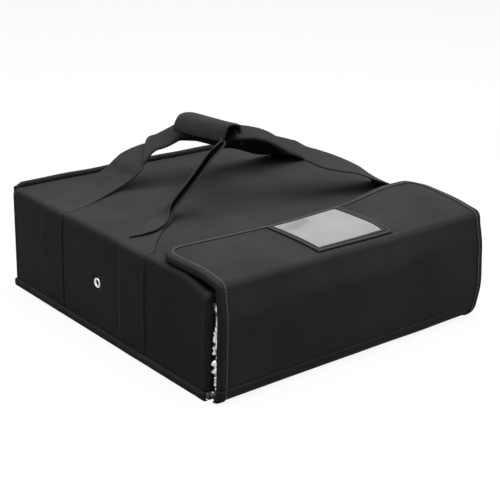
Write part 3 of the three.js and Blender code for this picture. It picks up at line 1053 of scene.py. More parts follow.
    def floor_tapes(self) -> None:
        """The bound seams along the floor, with the strap ends tucked in behind them."""
        straps = [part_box(f"left_{end}_strap") for end in ("rear", "front")]
        for side, word in SIDES:
            low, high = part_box(f"{word}_floor_seam")
            inner, outer = sorted((abs(low.x), abs(high.x)))
            around = outline((
                (inner + 0.0004, high.z), (outer - 0.0009, high.z),
                (outer - 0.0002, high.z - 0.0011), (outer, high.z - 0.004),
                (outer - 0.0002, 0.0018), (outer - 0.001, 0.0006), (inner - 0.002, 0.0003),
            ), 0.006)

            def place(u: float, v: float) -> Vector:
                """Lays the tape over the seam and the strap ends.

                Args:
                    u: place across the cut.
                    v: place along the cut.

                Returns:
                    The point in space.
                """
                x, z = around[u]
                over = max(
                    ease(strap[0].y - 0.006, strap[0].y + 0.004, v)
                    * (1 - ease(strap[1].y - 0.004, strap[1].y + 0.006, v))
                    for strap in straps
                )
                swell = 0.0011 * over + 0.0005 * ripple(v * 40, side * 4.0, z * 60)
                if z > 0.001:
                    x, z = x + swell, z + 0.3 * swell
                return self.shape.settle(Vector((side * x, v, z)))

            cut = Cut(tuple(around), runs((low.y, high.y, 120)))
            tape = cut.build(f"{word}_floor_tape", place, flip=side > 0)
            nodes = [f"{word}_floor_seam"]
            self.wardrobe.dress(tape, TAPE, Slot.TAPE, nodes=nodes, thick=TAPE_WALL)
            seam, out = tuple(around)[3], Vector((side * 0.0003, 0, 0.0018))
            line = [place(seam, v) + out for v in runs((low.y + 0.003, high.y - 0.003, 120))]
            self.wardrobe.sew(f"{word}_floor_stitches", [line])

    def back_tapes(self) -> None:
        """The standing ridge over the back's top edge and the tapes down its other edges."""
        low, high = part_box("back_seam")
        shape, dress = self.shape, self.wardrobe.dress
        top = shape.height
        around = outline((
            (low.y, top - 0.0002), (low.y, high.z - 0.0014), (low.y + 0.0007, high.z - 0.0003),
            (mix(low.y, high.y, 0.5), high.z), (high.y - 0.0007, high.z - 0.0003),
            (high.y, high.z - 0.0014), (high.y, top - 0.0085),
        ), 0.0075)
        end = shape.half_width - 0.001

        def ridge(u: float, v: float) -> Vector:
            """Lays the ridge, lower at its ends.

            Args:
                u: place across the cut.
                v: place along the cut.

            Returns:
                The point in space.
            """
            y, z = around[u]
            low_end = ease(0.0, 0.012, end - abs(v))
            wave = 0.0007 * ripple(v * 22, 1.3, 0.4)
            if z > top:
                z = mix(top - 0.002, z, mix(0.45, 1.0, low_end)) + wave
            return shape.settle(Vector((v, y + wave, min(z, high.z))))

        def foot(u: float, v: float) -> Vector:
            """Lays the tape along the back's foot."""
            return shape.settle(Vector((v, high.y - 0.0002 + min(0.0, u), 0.0004 + max(0.0, u))))

        tape = Cut(tuple(around), runs((-end, end, 150))).build("back_ridge_tape", ridge)
        dress(tape, TAPE, Slot.TAPE, nodes=["back_seam"], thick=TAPE_WALL)
        seam, down = tuple(around)[1], Vector((0, -0.0003, -0.0022))
        line = [ridge(seam, v) + down for v in runs((-end + 0.004, end - 0.004, 150))]
        self.wardrobe.sew("back_ridge_stitches", [line])
        for side, word in SIDES:
            def edge(u: float, v: float) -> Vector:
                """Lays the tape round the back's upright edge."""
                x = shape.half_width - max(0.0, u) + (0.0009 if u < 0 else 0)
                return shape.settle(Vector((side * x, high.y - 0.0003 + min(0.0, u), v)))

            across = (-0.007, -0.004, -0.001, 0.0, 0.004, 0.0085)
            cut = Cut(across, runs((0.002, top - 0.006, 30)))
            tape = cut.build(f"{word}_back_tape", edge, flip=side < 0)
            dress(tape, TAPE, Slot.TAPE, thick=THIN_WALL)
        cut = Cut((-0.008, -0.004, -0.001, 0.0, 0.004, 0.0085), runs((-end, end, 60)))
        tape = cut.build("back_floor_tape", foot, flip=True)
        dress(tape, TAPE, Slot.TAPE, nodes=["back_floor_seam"], thick=0.0005)

    def loop_patches(self) -> None:
        """The two soft fastener patches sewn on the top."""
        for _, word in SIDES:
            low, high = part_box(f"{word}_loop_patch")
            patch = self.patch(f"{word}_soft_patch", (low, high), self.shape.settle)
            nodes, thick = [f"{word}_loop_patch"], high.z - low.z
            self.wardrobe.dress(patch, PILE, Slot.HOOK, nodes=nodes, thick=thick)
            rim = 0.0022
            (left, front), (right, rear) = (low.x + rim, low.y + rim), (high.x - rim, high.y - rim)
            corners = [
                Vector((x, y, high.z))
                for x, y in ((left, front), (right, front), (right, rear), (left, rear))
            ]
            line = [
                self.shape.settle(a.lerp(b, k / 12))
                for a, b in zip(corners, [*corners[1:], corners[0]]) for k in range(12)
            ]
            self.wardrobe.sew(f"{word}_patch_stitches", [[*line, line[0]]], slot=Slot.HOOK)

    @staticmethod
    def patch(name: str, box: Box, settle: Callable[[Vector], Vector]) -> Piece:
        """A patch of fastener with a tufted face and a thin rim.

        Args:
            name: the piece's name.
            box: its low and high corner.
            settle: the way its ground has settled.

        Returns:
            The patch.
        """
        low, high = box

        def place(u: float, v: float) -> Vector:
            """Lays the tufted face.

            Args:
                u: place across the cut.
                v: place along the cut.

            Returns:
                The point in space.
            """
            rim = min(u - low.x, high.x - u, v - low.y, high.y - v)
            tuft = 0.0003 * ripple(u * 900, v * 900, 2.0)
            return settle(Vector((u, v, high.z - 0.0007 * (1 - ease(0, 0.0016, rim)) + tuft)))

        return Cut(runs((low.x, high.x, 44)), runs((low.y, high.y, 58))).build(name, place)


@dataclass(frozen=True)
class Eyelets:
    """The rolled vent eyelets in both walls and their washers inside."""

    shape: BodyShape
    wardrobe: Wardrobe
    hole_share: float = 0.56
    steps: int = 40

    def build(self) -> None:
        """Makes both eyelets and both washers."""
        for side, word in SIDES:
            low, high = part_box(f"{word}_eyelet")
            centre = (low + high) / 2
            outer = (high.z - low.z) / 2
            hole = outer * self.hole_share
            tail, face = sorted((abs(low.x), abs(high.x)))
            half = self.shape.half_width
            wall = self.shape.settle(Vector((side * half, centre.y, centre.z)))
            shift = abs(wall.x) - half
            self._turn(f"{word}_rolled_eyelet", f"{word}_eyelet", centre, side, [
                (radius, x + shift) for radius, x in (
                    (outer, face - 0.0013), (outer * 0.99, face - 0.0004),
                    (outer * 0.9, face + 0.0001), (outer * 0.78, face + 0.0003),
                    (outer * 0.67, face), (hole * 1.04, face - 0.0008), (hole, face - 0.002),
                    (hole, tail + 0.0008), (hole * 1.08, tail), (hole * 1.3, tail - 0.0002),
                    (hole * 1.3, tail + 0.0004), (hole * 1.12, tail + 0.0009),
                    (hole * 1.12, face - 0.003), (outer * 0.8, face - 0.0018),
                )
            ])
            low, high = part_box(f"{word}_eyelet_washer")
            inner, out = sorted((abs(low.x), abs(high.x)))
            self._turn(f"{word}_washer", f"{word}_eyelet_washer", centre, side, [
                (radius, x + shift) for radius, x in (
                    (outer, out), (outer, inner + 0.0002), (outer * 0.95, inner),
                    (hole * 1.36, inner), (hole * 1.32, inner + 0.0002), (hole * 1.32, out),
                )
            ])

    def _turn(
        self, name: str, node: str, centre: Vector, side: int, profile: Sequence[Pair]
    ) -> None:
        """Spins a closed profile round the eyelet's axis.

        Args:
            name: the piece's name.
            node: the CAD node it stands for.
            centre: the eyelet's centre.
            side: -1 on the left wall, 1 on the right.
            profile: radius and distance from the bag's middle of each point.
        """
        mesh = bmesh.new()
        points = [
            mesh.verts.new((side * x, centre.y, centre.z + radius)) for radius, x in profile
        ]
        edges = [mesh.edges.new((a, b)) for a, b in zip(points, [*points[1:], points[0]])]
        bmesh.ops.spin(
            mesh, geom=[*points, *edges], cent=centre, axis=(1, 0, 0), angle=math.tau,
            steps=self.steps, use_merge=True,
        )
        bmesh.ops.remove_doubles(mesh, verts=mesh.verts, dist=NEAR)
        bmesh.ops.recalc_face_normals(mesh, faces=mesh.faces)
        self.wardrobe.dress(make_object(name, mesh), NICKEL, Slot.METAL, nodes=[node])


# ---------------------------------------------------------------- the flap


@dataclass(frozen=True)
class FlapShape:
    """The padded flap's path over the mouth and its soft form."""

    body: BodyShape
    half_width: float
    face: float
    top: float
    rear: float
    bend: float = 0.014
    fold: float = 0.012
    corner: float = 0.025
    depth: float = 0.0072
    seam_rise: float = 0.004
    crease_width: float = 0.02

    @classmethod
    def from_frame(cls, body: BodyShape) -> "FlapShape":
        """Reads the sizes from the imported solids."""
        front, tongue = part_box("flap_front_outer"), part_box("tongue_outer")
        return cls(body, front[1].x, front[0].y, tongue[1].z, tongue[1].y)

    @property
    def marks(self) -> tuple[float, float, float, float]:
        """The flap's measures along its path.

        Returns:
            Length to the bend's end, the fold's start and end, and the rear edge.
        """
        bend = self.bend * math.pi / 2
        front = bend + self.top - self.fold - self.bend
        fold = front + self.fold * math.pi / 2
        return bend, front, fold, fold + self.rear - self.face - self.fold

    @property
    def split(self) -> float:
        """Length along the flap to the line where the front's cloth goes on as the tongue's."""
        return self.marks[0] + self.seam_rise

    def at(self, y: float) -> float:
        """Length along the flap to a place y on the tongue."""
        return self.marks[2] + y - self.face - self.fold

    def spine(self, along: float) -> tuple[float, float, float, float]:
        """The stiff path of the outer cloth.

        Args:
            along: length from the start of the bottom bend.

        Returns:
            y, z and the outward direction's y and z.
        """
        bend, front, fold, _ = self.marks
        if along <= bend:
            a, b = math.sin(along / self.bend), math.cos(along / self.bend)
            return self.body.mouth - self.bend * a, self.bend * (1 - b), -a, -b
        if along <= front:
            return self.face, self.bend + along - bend, -1, 0
        if along <= fold:
            turn = (along - front) / self.fold
            a, b = math.cos(turn), math.sin(turn)
            return self.face + self.fold * (1 - a), self.top - self.fold * (1 - b), -a, b
        return self.face + self.fold + along - fold, self.top, 0, 1

    def place(self, x: float, along: float, depth: float = 0.0) -> Vector:
        """A point of the soft flap.

        Args:
            x: place across the flap.
            along: length along it.
            depth: how far under the outer cloth.

        Returns:
            The point.
        """
        y, z, ny, nz = self.spine(along)
        bend, front, fold, rear = self.marks
        side = x / self.half_width
        flat = max(0.0, 1 - side * side)
        upright = ease(bend * 0.5, bend + 0.03, along) * (1 - ease(front - 0.04, front, along))
        right = ease(0.02, 0.19, x)
        puff = 0.0022 * flat * upright + 0.0035 * right * hump(bend + 0.03, 0.035, along)
        soft = mix(0.0052, 0.0088, ease(-0.12, 0.08, x)) * (1 - 0.5 * ease(0.1, 0.2, x))
        puff -= soft * hump((front + fold) / 2 - 0.001, 0.026, along)
        puff += 0.0010 * ripple(x * 13, along * 15, 4.2) * ease(0, bend, along)
        back = ease(fold - 0.012, fold + 0.03, along)
        sag = -self.body.sag * 0.9 * flat * hump(-0.05, 0.11, x)
        lift = 0.0095 * ease(0.06, 0.15, x) * ease(fold, rear, along)
        lift *= 1 - 0.35 * ease(0.175, 0.2, x)
        lower = ease(0.08, 0.2, x) * (1 - ease(bend + 0.01, bend + 0.06, along))
        rise = back * (sag + lift) + 0.004 * lower * ease(0, bend, along)
        return Vector(
            (
                x + 0.0035 * right * upright * ease(0.12, 0.2, x),
                y + ny * (puff - depth),
                z + nz * (puff - depth) + rise,
            )
        )

    def creased(self, x: float, along: float, seed: float) -> Vector:
        """A point of the flap's creased foil.

        Args:
            x: place across the flap.
            along: length along it.
            seed: sets the creases apart.

        Returns:
            The point.
        """
        depth = self.depth - FOIL_WALL
        facet = crinkle(self.place(x, along, depth), self.crease_width, seed)
        return self.place(x, along, depth + CREASE * facet)

    def tongue_half(self, y: float) -> float:
        """Half the tongue's width, which its round corners narrow.

        Args:
            y: the place.

        Returns:
            Half the width there.
        """
        into = y - (self.rear - self.corner)
        if into <= 0:
            return self.half_width
        return self.half_width - self.corner + math.sqrt(max(0.0, self.corner**2 - into**2))

    @property
    def edge_runs(self) -> Triple:
        """Lengths of the tongue's edge from the split: a side, a corner and the rear."""
        straight = self.marks[3] - self.corner - self.split
        return straight, self.corner * math.pi / 2, 2 * (self.half_width - self.corner)

    def edge(self, way: float) -> tuple[Pair, Pair]:
        """A place on the tongue's free edge.

        Args:
            way: length along the edge from the left end of the split.

        Returns:
            x and length along the flap, and the way in from the edge in the same measures.
        """
        (straight, arc, across), half, corner = self.edge_runs, self.half_width, self.corner
        rear = self.marks[3]
        if way > straight + arc + across / 2:
            (x, along), (inx, iny) = self.edge(2 * (straight + arc) + across - way)
            return (-x, along), (-inx, iny)
        if way <= straight:
            return (-half, self.split + way), (1.0, 0.0)
        if way <= straight + arc:
            a, b = math.cos((way - straight) / corner), math.sin((way - straight) / corner)
            return (-half + corner * (1 - a), rear - corner * (1 - b)), (a, -b)
        return (-half + corner + way - straight - arc, rear), (0.0, -1.0)


@dataclass(frozen=True)
class Flap:
    """The flap: its front, the tongue over the top, the window, the fasteners and bindings."""

    shape: FlapShape
    wardrobe: Wardrobe
    foam_depth: float = 0.0016
    foam_inset: float = 0.0006
    stitch_inset: float = 0.0068
    stitch_depth: float = -0.0013
    window_band: float = 0.009
    vinyl_wall: float = 0.0004

    def build(self) -> None:
        """Makes every piece of the flap."""
        self.front()
        self.tongue()
        self.bindings()
        self.window()
        self.hook_patches()
        self.spilled_foil()

    def bend_front(self, piece: Piece) -> Piece:
        """Bakes into its mesh the transform of a piece that runs round where the flap leaves the
        floor.

        Args:
            piece: the piece.

        Returns:
            The piece.
        """
        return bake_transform(piece)

    def bend_tongue(self, piece: Piece) -> Piece:
        """Bakes into its mesh the transform of a piece that runs round where the tongue folds over
        the top.

        Args:
            piece: the piece.

        Returns:
            The piece.
        """
        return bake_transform(piece)

    def front(self) -> None:
        """Cloth, foam and foil in front of the mouth."""
        shape, dress = self.shape, self.wardrobe.dress
        bend, half = shape.marks[0], shape.half_width
        cut = Cut(runs((-half, half, 90)), runs((0, bend, 10), (bend, shape.split, 2)))
        cloth = cut.build("flap_cloth", shape.place)
        dress(cloth, CLOTH, Slot.CLOTH, None, ["flap_front_outer"], CLOTH_WALL)
        self.bend_front(cloth)
        low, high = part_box("flap_front_foam")
        start, end = bend + low.z - shape.bend, bend + high.z - shape.bend
        inside = half - self.foam_inset
        cut = Cut(runs((-inside, inside, 50)), runs((start, end, 18)))
        board = cut.build("flap_board", lambda u, v: shape.place(u, v, self.foam_depth))
        dress(board, FOAM, Slot.FOAM, "flap_front", ["flap_front_foam"], FOAM_WALL)
        cut = Cut(runs((-inside, inside, 90)), runs((start, end, 28)))
        foil = cut.build("flap_foil", lambda u, v: shape.creased(u, v, 9.0), flip=True)
        dress(foil, FOIL, Slot.LINING, "flap_front", ["flap_front_lining"], FOIL_WALL)

    def tongue(self) -> None:
        """Cloth, foam and foil that lie on the top."""
        shape, dress = self.shape, self.wardrobe.dress
        _, front, fold, rear = shape.marks
        half, corner = shape.half_width, shape.corner
        rounded = [rear - corner * (1 - math.sin(k * math.pi / 24)) for k in range(1, 13)]
        around = runs((shape.split, front, 34), (front, fold, 10), (fold, rear - corner, 22))
        lines = (*around, *rounded)

        def narrowed(u: float, v: float, inside: float) -> float:
            """Place across the flap, narrowed by the corners."""
            y = shape.face + shape.fold + (v - fold)
            return u * (shape.tongue_half(min(y, shape.rear)) - inside) / half

        def outer(u: float, v: float) -> Vector:
            """Lays the cloth."""
            return shape.place(narrowed(u, v, 0.0), v)

        def padding(u: float, v: float) -> Vector:
            """Lays the foam."""
            return shape.place(narrowed(u, v, self.foam_inset), v, self.foam_depth)

        def lining(u: float, v: float) -> Vector:
            """Lays the foil."""
            return shape.creased(narrowed(u, v, self.foam_inset), v, 11.0)

        cloth = Cut(runs((-half, half, 90)), lines).build("tongue_cloth", outer)
        dress(cloth, CLOTH, Slot.CLOTH, None, ["flap_front_outer", "tongue_outer"], CLOTH_WALL)
        self.bend_tongue(cloth)
        cut = Cut(runs((-half, half, 50)), tuple(v for v in lines if v >= fold))
        board = cut.build("tongue_board", padding)
        dress(board, FOAM, Slot.FOAM, "flap_tongue", ["tongue_foam"], FOAM_WALL)
        foil = cut.build("tongue_foil", lining, flip=True)
        dress(foil, FOIL, Slot.LINING, "flap_tongue", ["tongue_lining"], FOIL_WALL)

    def profile(self) -> dict[float, Sequence[float]]:
        """The binding's round cross section.

        Returns:
            Way in and depth by the place across the tape.
        """
        width, proud, deep = 0.009, 0.0011, self.shape.depth
        points = (
            (width, -proud * 0.6), (width - 0.0012, -proud), (0.0022, -proud),
            (0.0002, -proud * 0.55), (-proud * 0.75, 0.0008), (-proud, 0.0026),
            (-proud, deep - 0.0022), (-proud * 0.75, deep - 0.0004), (0.0004, deep + proud * 0.6),
            (0.0024, deep + proud), (width, deep + proud),
        )
        return outline(points, lengths(points)[5])

    def bindings(self) -> None:
        """The tape round the flap's free edges, with its pale stitches."""
        shape, wardrobe = self.shape, self.wardrobe
        bend, half, profile = shape.marks[0], shape.half_width, self.profile()
        for side, word in SIDES:
            def side_edge(u: float, v: float) -> Vector:
                """Lays the tape round the flap's side.

                Args:
                    u: place across the cut.
                    v: place along the cut.

                Returns:
                    The point in space.
                """
                way, depth = profile[u]
                wave = 0.0004 * ripple(v * 50, side * 2.0, 0.3)
                return shape.place(side * (half - way + wave), v, depth)

            cut = Cut(tuple(profile), runs((bend * 0.2, bend, 8), (bend, shape.split, 2)))
            tape = cut.build(f"flap_{word}_tape", side_edge, flip=side < 0)
            nodes = [f"flap_{word}_binding"]
            self.bend_front(wardrobe.dress(tape, TAPE, Slot.TAPE, None, nodes, TAPE_WALL))
            line = [
                shape.place(side * (half - self.stitch_inset), v, self.stitch_depth)
                for v in runs((bend * 0.4, shape.split, 12))
            ]
            self.bend_front(
                wardrobe.sew(f"flap_{word}_stitches", [line], PALE_THREAD, body=None)
            )

        def inside(v: float, way: float, depth: float) -> Vector:
            """A point inside the tongue's free edge."""
            (x, along), (inx, iny) = shape.edge(v)
            return shape.place(x + inx * way, along + iny * way, depth)

        straight, arc, across = shape.edge_runs
        start, end = straight + arc, straight + arc + across
        lines = runs(
            (0, straight, 64), (straight, start, 12), (start, end, 70), (end, end + arc, 12),
            (end + arc, end + arc + straight, 64),
        )
        tape = Cut(tuple(profile), lines).build(
            "tongue_tape", lambda u, v: inside(v, *profile[u]), flip=True
        )
        wardrobe.dress(tape, TAPE, Slot.TAPE, None, ["tongue_binding"], TAPE_WALL)
        self.bend_tongue(tape)
        line = [inside(v, self.stitch_inset, self.stitch_depth) for v in lines]
        self.bend_tongue(wardrobe.sew("tongue_stitches", [line], PALE_THREAD, body=None))

    def window(self) -> None:
        """The milky label window and the tape on its three sewn sides."""
        shape, wardrobe, base = self.shape, self.wardrobe, self.shape.top
        low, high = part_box("window_sheet")

        def sheet_place(u: float, v: float) -> Vector:
            """Lays the sheet in slight waves.

            Args:
                u: place across the cut.
                v: place along the cut.

            Returns:
                The point in space.
            """
            wave = 0.0006 * math.sin((u - low.x) * 40)
            wave *= ease(0, 0.02, v - low.y) * ease(0, 0.03, high.y - v)
            return shape.place(u, shape.at(v), base - high.z - abs(wave))

        cut = Cut(runs((low.x, high.x, 44)), runs((low.y, high.y, 36)))
        sheet = cut.build("window_vinyl", sheet_place)
        nodes = ["window_sheet"]
        wardrobe.dress(sheet, VINYL, Slot.WINDOW, "flap_tongue", nodes, self.vinyl_wall)
        low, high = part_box("window_frame")
        band, top, rim = self.window_band, high.z, 0.0012
        half = band / 2
        steps = runs((-half, rim - half, 2), (rim - half, half - rim, 4), (half - rim, half, 2))
        corners = self.u_route(low, high, half, 0.0)
        for number, word in enumerate(("left", "front", "right")):
            (ax, ay), (bx, by) = corners[number : number + 2]
            length = math.hypot(bx - ax, by - ay)
            ux, uy = (bx - ax) / length, (by - ay) / length
            lift = 0.0002 if number == 1 else 0.0

            def strip(u: float, v: float) -> Vector:
                """Lays one strip of the tape.

                Args:
                    u: place across the cut.
                    v: place along the cut.

                Returns:
                    The point in space.
                """
                x, y = ax + ux * v - uy * u, ay + uy * v + ux * u
                edge = 0.0003 * (1 - ease(0, rim, half - abs(u)))
                return shape.place(x, shape.at(y), base - top + edge - lift)

            ends = runs((-half if number else 0.0, length + (half if number < 2 else 0.0), 30))
            piece = Cut(steps, ends).build(f"window_{word}_tape", strip, flip=True)
            nodes = ["window_frame"] if number == 1 else []
            wardrobe.dress(piece, TAPE, Slot.TAPE, "flap_tongue", nodes, TAPE_WALL)
        stitched = []
        for inset in (0.0022, band - 0.0018):
            route = [Vector((x, y, 0)) for x, y in self.u_route(low, high, inset, 0.001)]
            stitched.append([
                shape.place(p.x, shape.at(p.y), base - top - 0.0004)
                for a, b in zip(route, route[1:]) for p in (a.lerp(b, k / 24) for k in range(25))
            ])
        wardrobe.sew("window_stitches", stitched, PALE_THREAD, body="flap_tongue")

    @staticmethod
    def u_route(low: Vector, high: Vector, inset: float, short: float) -> list[Pair]:
        """A route inside a box, down its left side, along its front and up its right side.

        Args:
            low: the box's low corner.
            high: its high corner.
            inset: how far inside the box.
            short: how far before the rear edge it starts and ends.

        Returns:
            x and y of its four points.
        """
        left, right, front, rear = low.x + inset, high.x - inset, low.y + inset, high.y - short
        return [(left, rear), (left, front), (right, front), (right, rear)]

    def hook_patches(self) -> None:
        """The hook patches under the tongue."""
        shape = self.shape

        def under(point: Vector) -> Vector:
            """Follows the tongue."""
            return shape.place(point.x, shape.at(point.y), shape.top - point.z)

        for _, word in SIDES:
            low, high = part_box(f"{word}_hook_patch")
            patch = Body.patch(f"{word}_stiff_patch", (low, high), under)
            nodes, thick = [f"{word}_hook_patch"], high.z - low.z
            self.wardrobe.dress(patch, PILE, Slot.HOOK, "flap_tongue", nodes, thick)

    def spilled_foil(self) -> None:
        """Loose foil of the flap's lining that bunches out beside the mouth."""
        shape, dress = self.shape, self.wardrobe.dress
        bend, left = shape.marks[0], -shape.half_width

        def ruffle(u: float, v: float) -> Vector:
            """Lays the ruffled edge.

            Args:
                u: place across the cut.
                v: place along the cut.

            Returns:
                The point in space.
            """
            high = ease(bend + 0.07, bend + 0.02, v)
            bunch = crinkle(Vector((u, v, 0.9)), 0.008, 3.0)
            fine = ripple(u * 420, v * 330, 4.0)
            tuck = ease(0.1, -0.25, ripple(u * 110, v * 62, 2.0) + 0.55 * high)
            point = shape.place(left + 0.0025, v, shape.depth + 0.0005 + u)
            point.x += 0.016 * tuck - (0.0012 + 0.0024 * high) * bunch - 0.0016 * fine
            return point

        def loose(u: float, v: float) -> Vector:
            """Lays the loose foil.

            Args:
                u: place across the cut.
                v: place along the cut.

            Returns:
                The point in space.
            """
            bunch = crinkle(Vector((u, v, 0.3)), 0.009, 3.0)
            fine = ripple(u * 180, v * 150, 1.0)
            point = shape.place(left + 0.004 + u, v, shape.depth + 0.0024)
            point.y += 0.0016 * bunch + 0.001 * fine + 0.003 * ease(0.0, 0.02, u)
            point.x -= 0.0016 * bunch * ease(0.012, 0.0, u)
            return point

        cut = Cut(runs((0.0, 0.011, 10)), runs((bend + 0.003, bend + 0.098, 70)))
        edge = cut.build("flap_foil_ruffle", ruffle)
        dress(edge, FOIL, Slot.LINING, "flap_front", thick=LOOSE_FOIL_WALL)
        cut = Cut(runs((0.0, 0.03, 16)), runs((bend + 0.004, bend + 0.088, 60)))
        piece = cut.build("flap_loose_foil", loose, flip=True)
        dress(piece, FOIL, Slot.LINING, "flap_front", thick=LOOSE_FOIL_WALL)


# ---------------------------------------------------------------- webbing and grip


@dataclass(frozen=True)
class Station:
    """A place on a webbing loop: its fold line and the way to its two edges.

    The fold line lies at crease, a share of half the width from the middle, towards the inner edge
    where it is above 0. Width is the share of the webbing's width that is laid out.
    """

    middle: Vector
    outer: Vector
    inner: Vector
    crease: float = 0.0
    width: float = 1.0

    def mirrored(self) -> "Station":
        """The same station on the other side of the bag.

        Returns:
            The mirrored station.
        """
        flip = Matrix.Diagonal((-1, 1, 1))
        ways = (flip @ way for way in (self.middle, self.outer, self.inner))
        return Station(*ways, self.crease, self.width)


def heading(turn: float, rise: float) -> Vector:
    """The direction with that heading and elevation, in degrees."""
    a, b = math.radians(turn), math.radians(rise)
    return Vector((math.cos(a) * math.cos(b), math.sin(a) * math.cos(b), math.sin(b)))


def stations(*rows: Sequence[float]) -> tuple[Station, ...]:
    """Makes stations from rows of numbers.

    Args:
        rows: x, y and z in millimetres, heading and elevation in degrees of the way to the outer
            and then to the inner edge, and where they aren't 0 and 1 the crease and the width.

    Returns:
        The stations.
    """
    return tuple(
        Station(Vector(row[:3]) / 1000, heading(*row[3:5]), heading(*row[5:7]), *row[7:])
        for row in rows
    )


REAR_LEG = stations(
    (-193.7, 117, 131.3, 91, 0, -89, 0),
    (-172, 123, 131.6, 98, 0, -82, 0),
    (-140, 137, 133, 106, 0, -74, 1),
    (-110, 146, 138, 107, 2, -73, 0),
    (-88, 146, 146, 101, 4, -79, 0),
    (-74, 120, 153, 97, 5, -83, 0, 0.97),
    (-66, 122, 158, 94, 8, 92, 50, 0.85),
    (-56, 126, 164.5, 90, 10, 89, 32, 0.5),
    (-47, 129.5, 169.5, 87, 10, 87, 24, 0.2),
    (-38, 131, 172.5, 84, 11, 85, 23),
    (-28, 128.6, 174, 80, 16, 84, 27),
    (-16, 126, 178, 70, 22, 76, 34),
)
FAR_REAR_LEG = stations(
    (-193.7, 117, 131.3, 91, 0, -89, 0),
    (-188, 117, 133, 90, -1, -90, 1),
    (-178, 117, 134.6, 89, -4, -91, 4),
    (-165, 117.5, 137, 88, -9, -92, 9),
    (-149, 118, 141, 88, -15, -92, 15),
    (-135, 118, 147, 88, -21, -92, 21),
    (-122, 118, 153.5, 88, -25, -92, 25),
    (-107, 118, 159.5, 88, -26, -92, 26),
    (-92, 118, 164, 88, -26, -92, 26),
    (-76, 119, 166.5, 88, -25, -92, 25),
    (-60, 120, 172.5, 88, -20, -92, 20),
    (-46, 121.5, 178, 85, -10, -94, 14),
    (-32, 123, 181.5, 82, 8, -96, 24),
    (-19, 124, 183, 70, 48, -106, 54),
)
FRONT_LEG = stations(
    (-193.7, -29.8, 132, -90, 0, 90, 0, 0.97),
    (-188, -25.8, 133, -86, 0, -74, 6, 0.85),
    (-179, -19.7, 133.6, -80, 0, -77, 2, 0.5),
    (-162.8, -9.6, 133.9, -70, 0.5, -71, 2, 0.14),
    (-148, 0, 134, -66, 1, -68, 4),
    (-133, 9.5, 134.3, -68, 4, -71, 8),
    (-117.5, 18.5, 136.2, -84, 12, -88, 17),
    (-106, 20.5, 140, -100, 14, -106, 20),
    (-96, 21.5, 144.5, -108, 13, -115, 20),
    (-75, 22.5, 159.5, -113, 10, -122, 18),
    (-56, 23, 175.5, -117, 10, -125, 18),
    (-40, 23.5, 190, -119, 11, -127, 18),
    (-27, 22, 198, -123, 14, -130, 20),
    (-17, 23.5, 201.5, -127, 17, -132, 21),
)
FAR_FRONT_LEG = stations(
    (-193.7, -54, 131.3, -90, 0, 90, 0),
    (-187, -51.5, 137.5, -84, 3, 96, -3),
    (-179, -48, 143.5, -76, 1, 104, -1),
    (-170, -44.2, 148.9, -70, -2, 110, 2),
    (-158, -39, 155, -67, -3, 113, 3),
    (-145, -33.8, 161, -67, -5, 113, 5),
    (-129, -27.1, 166.3, -67, -10, 113, 10),
    (-112, -20, 171.8, -67, -13, 113, 13),
    (-98, -14, 176.8, -67, -13, 113, 13),
    (-77, -31, 177.5, -67, -13, 113, 14, -0.99),
    (-68, -26, 181.6, 113, 26, 113, 16, -0.85),
    (-56, -16, 187.4, 113, 26, 113, 19, -0.5),
    (-44, -7, 195.8, 113, 24, 113, 18, -0.16),
    (-32, 2, 202, 113, 20, 113, 15, -0.02),
    (-20, 10, 204.9, 113, 20, 113, 14),
    (-11, 18, 203.5, 112, 28, 112, 20),
)
HELD = stations(
    (-8, 124.5, 181, 60, 30, 66, 42),
    (-7.5, 110, 184.5, 8, 62, 8, 72),
    (-10, 74, 192.5, 0, 54, 0, 62),
    (-10.5, 58, 196.5, 0, 50, 0, 60, 0, 0.8),
    (-11, 44, 200, -20, 50, -20, 62, 0, 0.4),
    (-12, 35, 202, -112, 26, -118, 32, 0, 0.4),
    (-13.5, 27, 202.3, -129, 18, -134, 22, 0, 0.7),
)
FAR_HELD = stations(
    (-5, 124, 182.5, 0, 87, 180, 87),
    (-5, 74, 185.5, 0, 87, 180, 87),
    (-5, 50, 190, 60, 80, 120, 78),
    (-5.5, 27, 201.5, 104, 38, 108, 30),
)


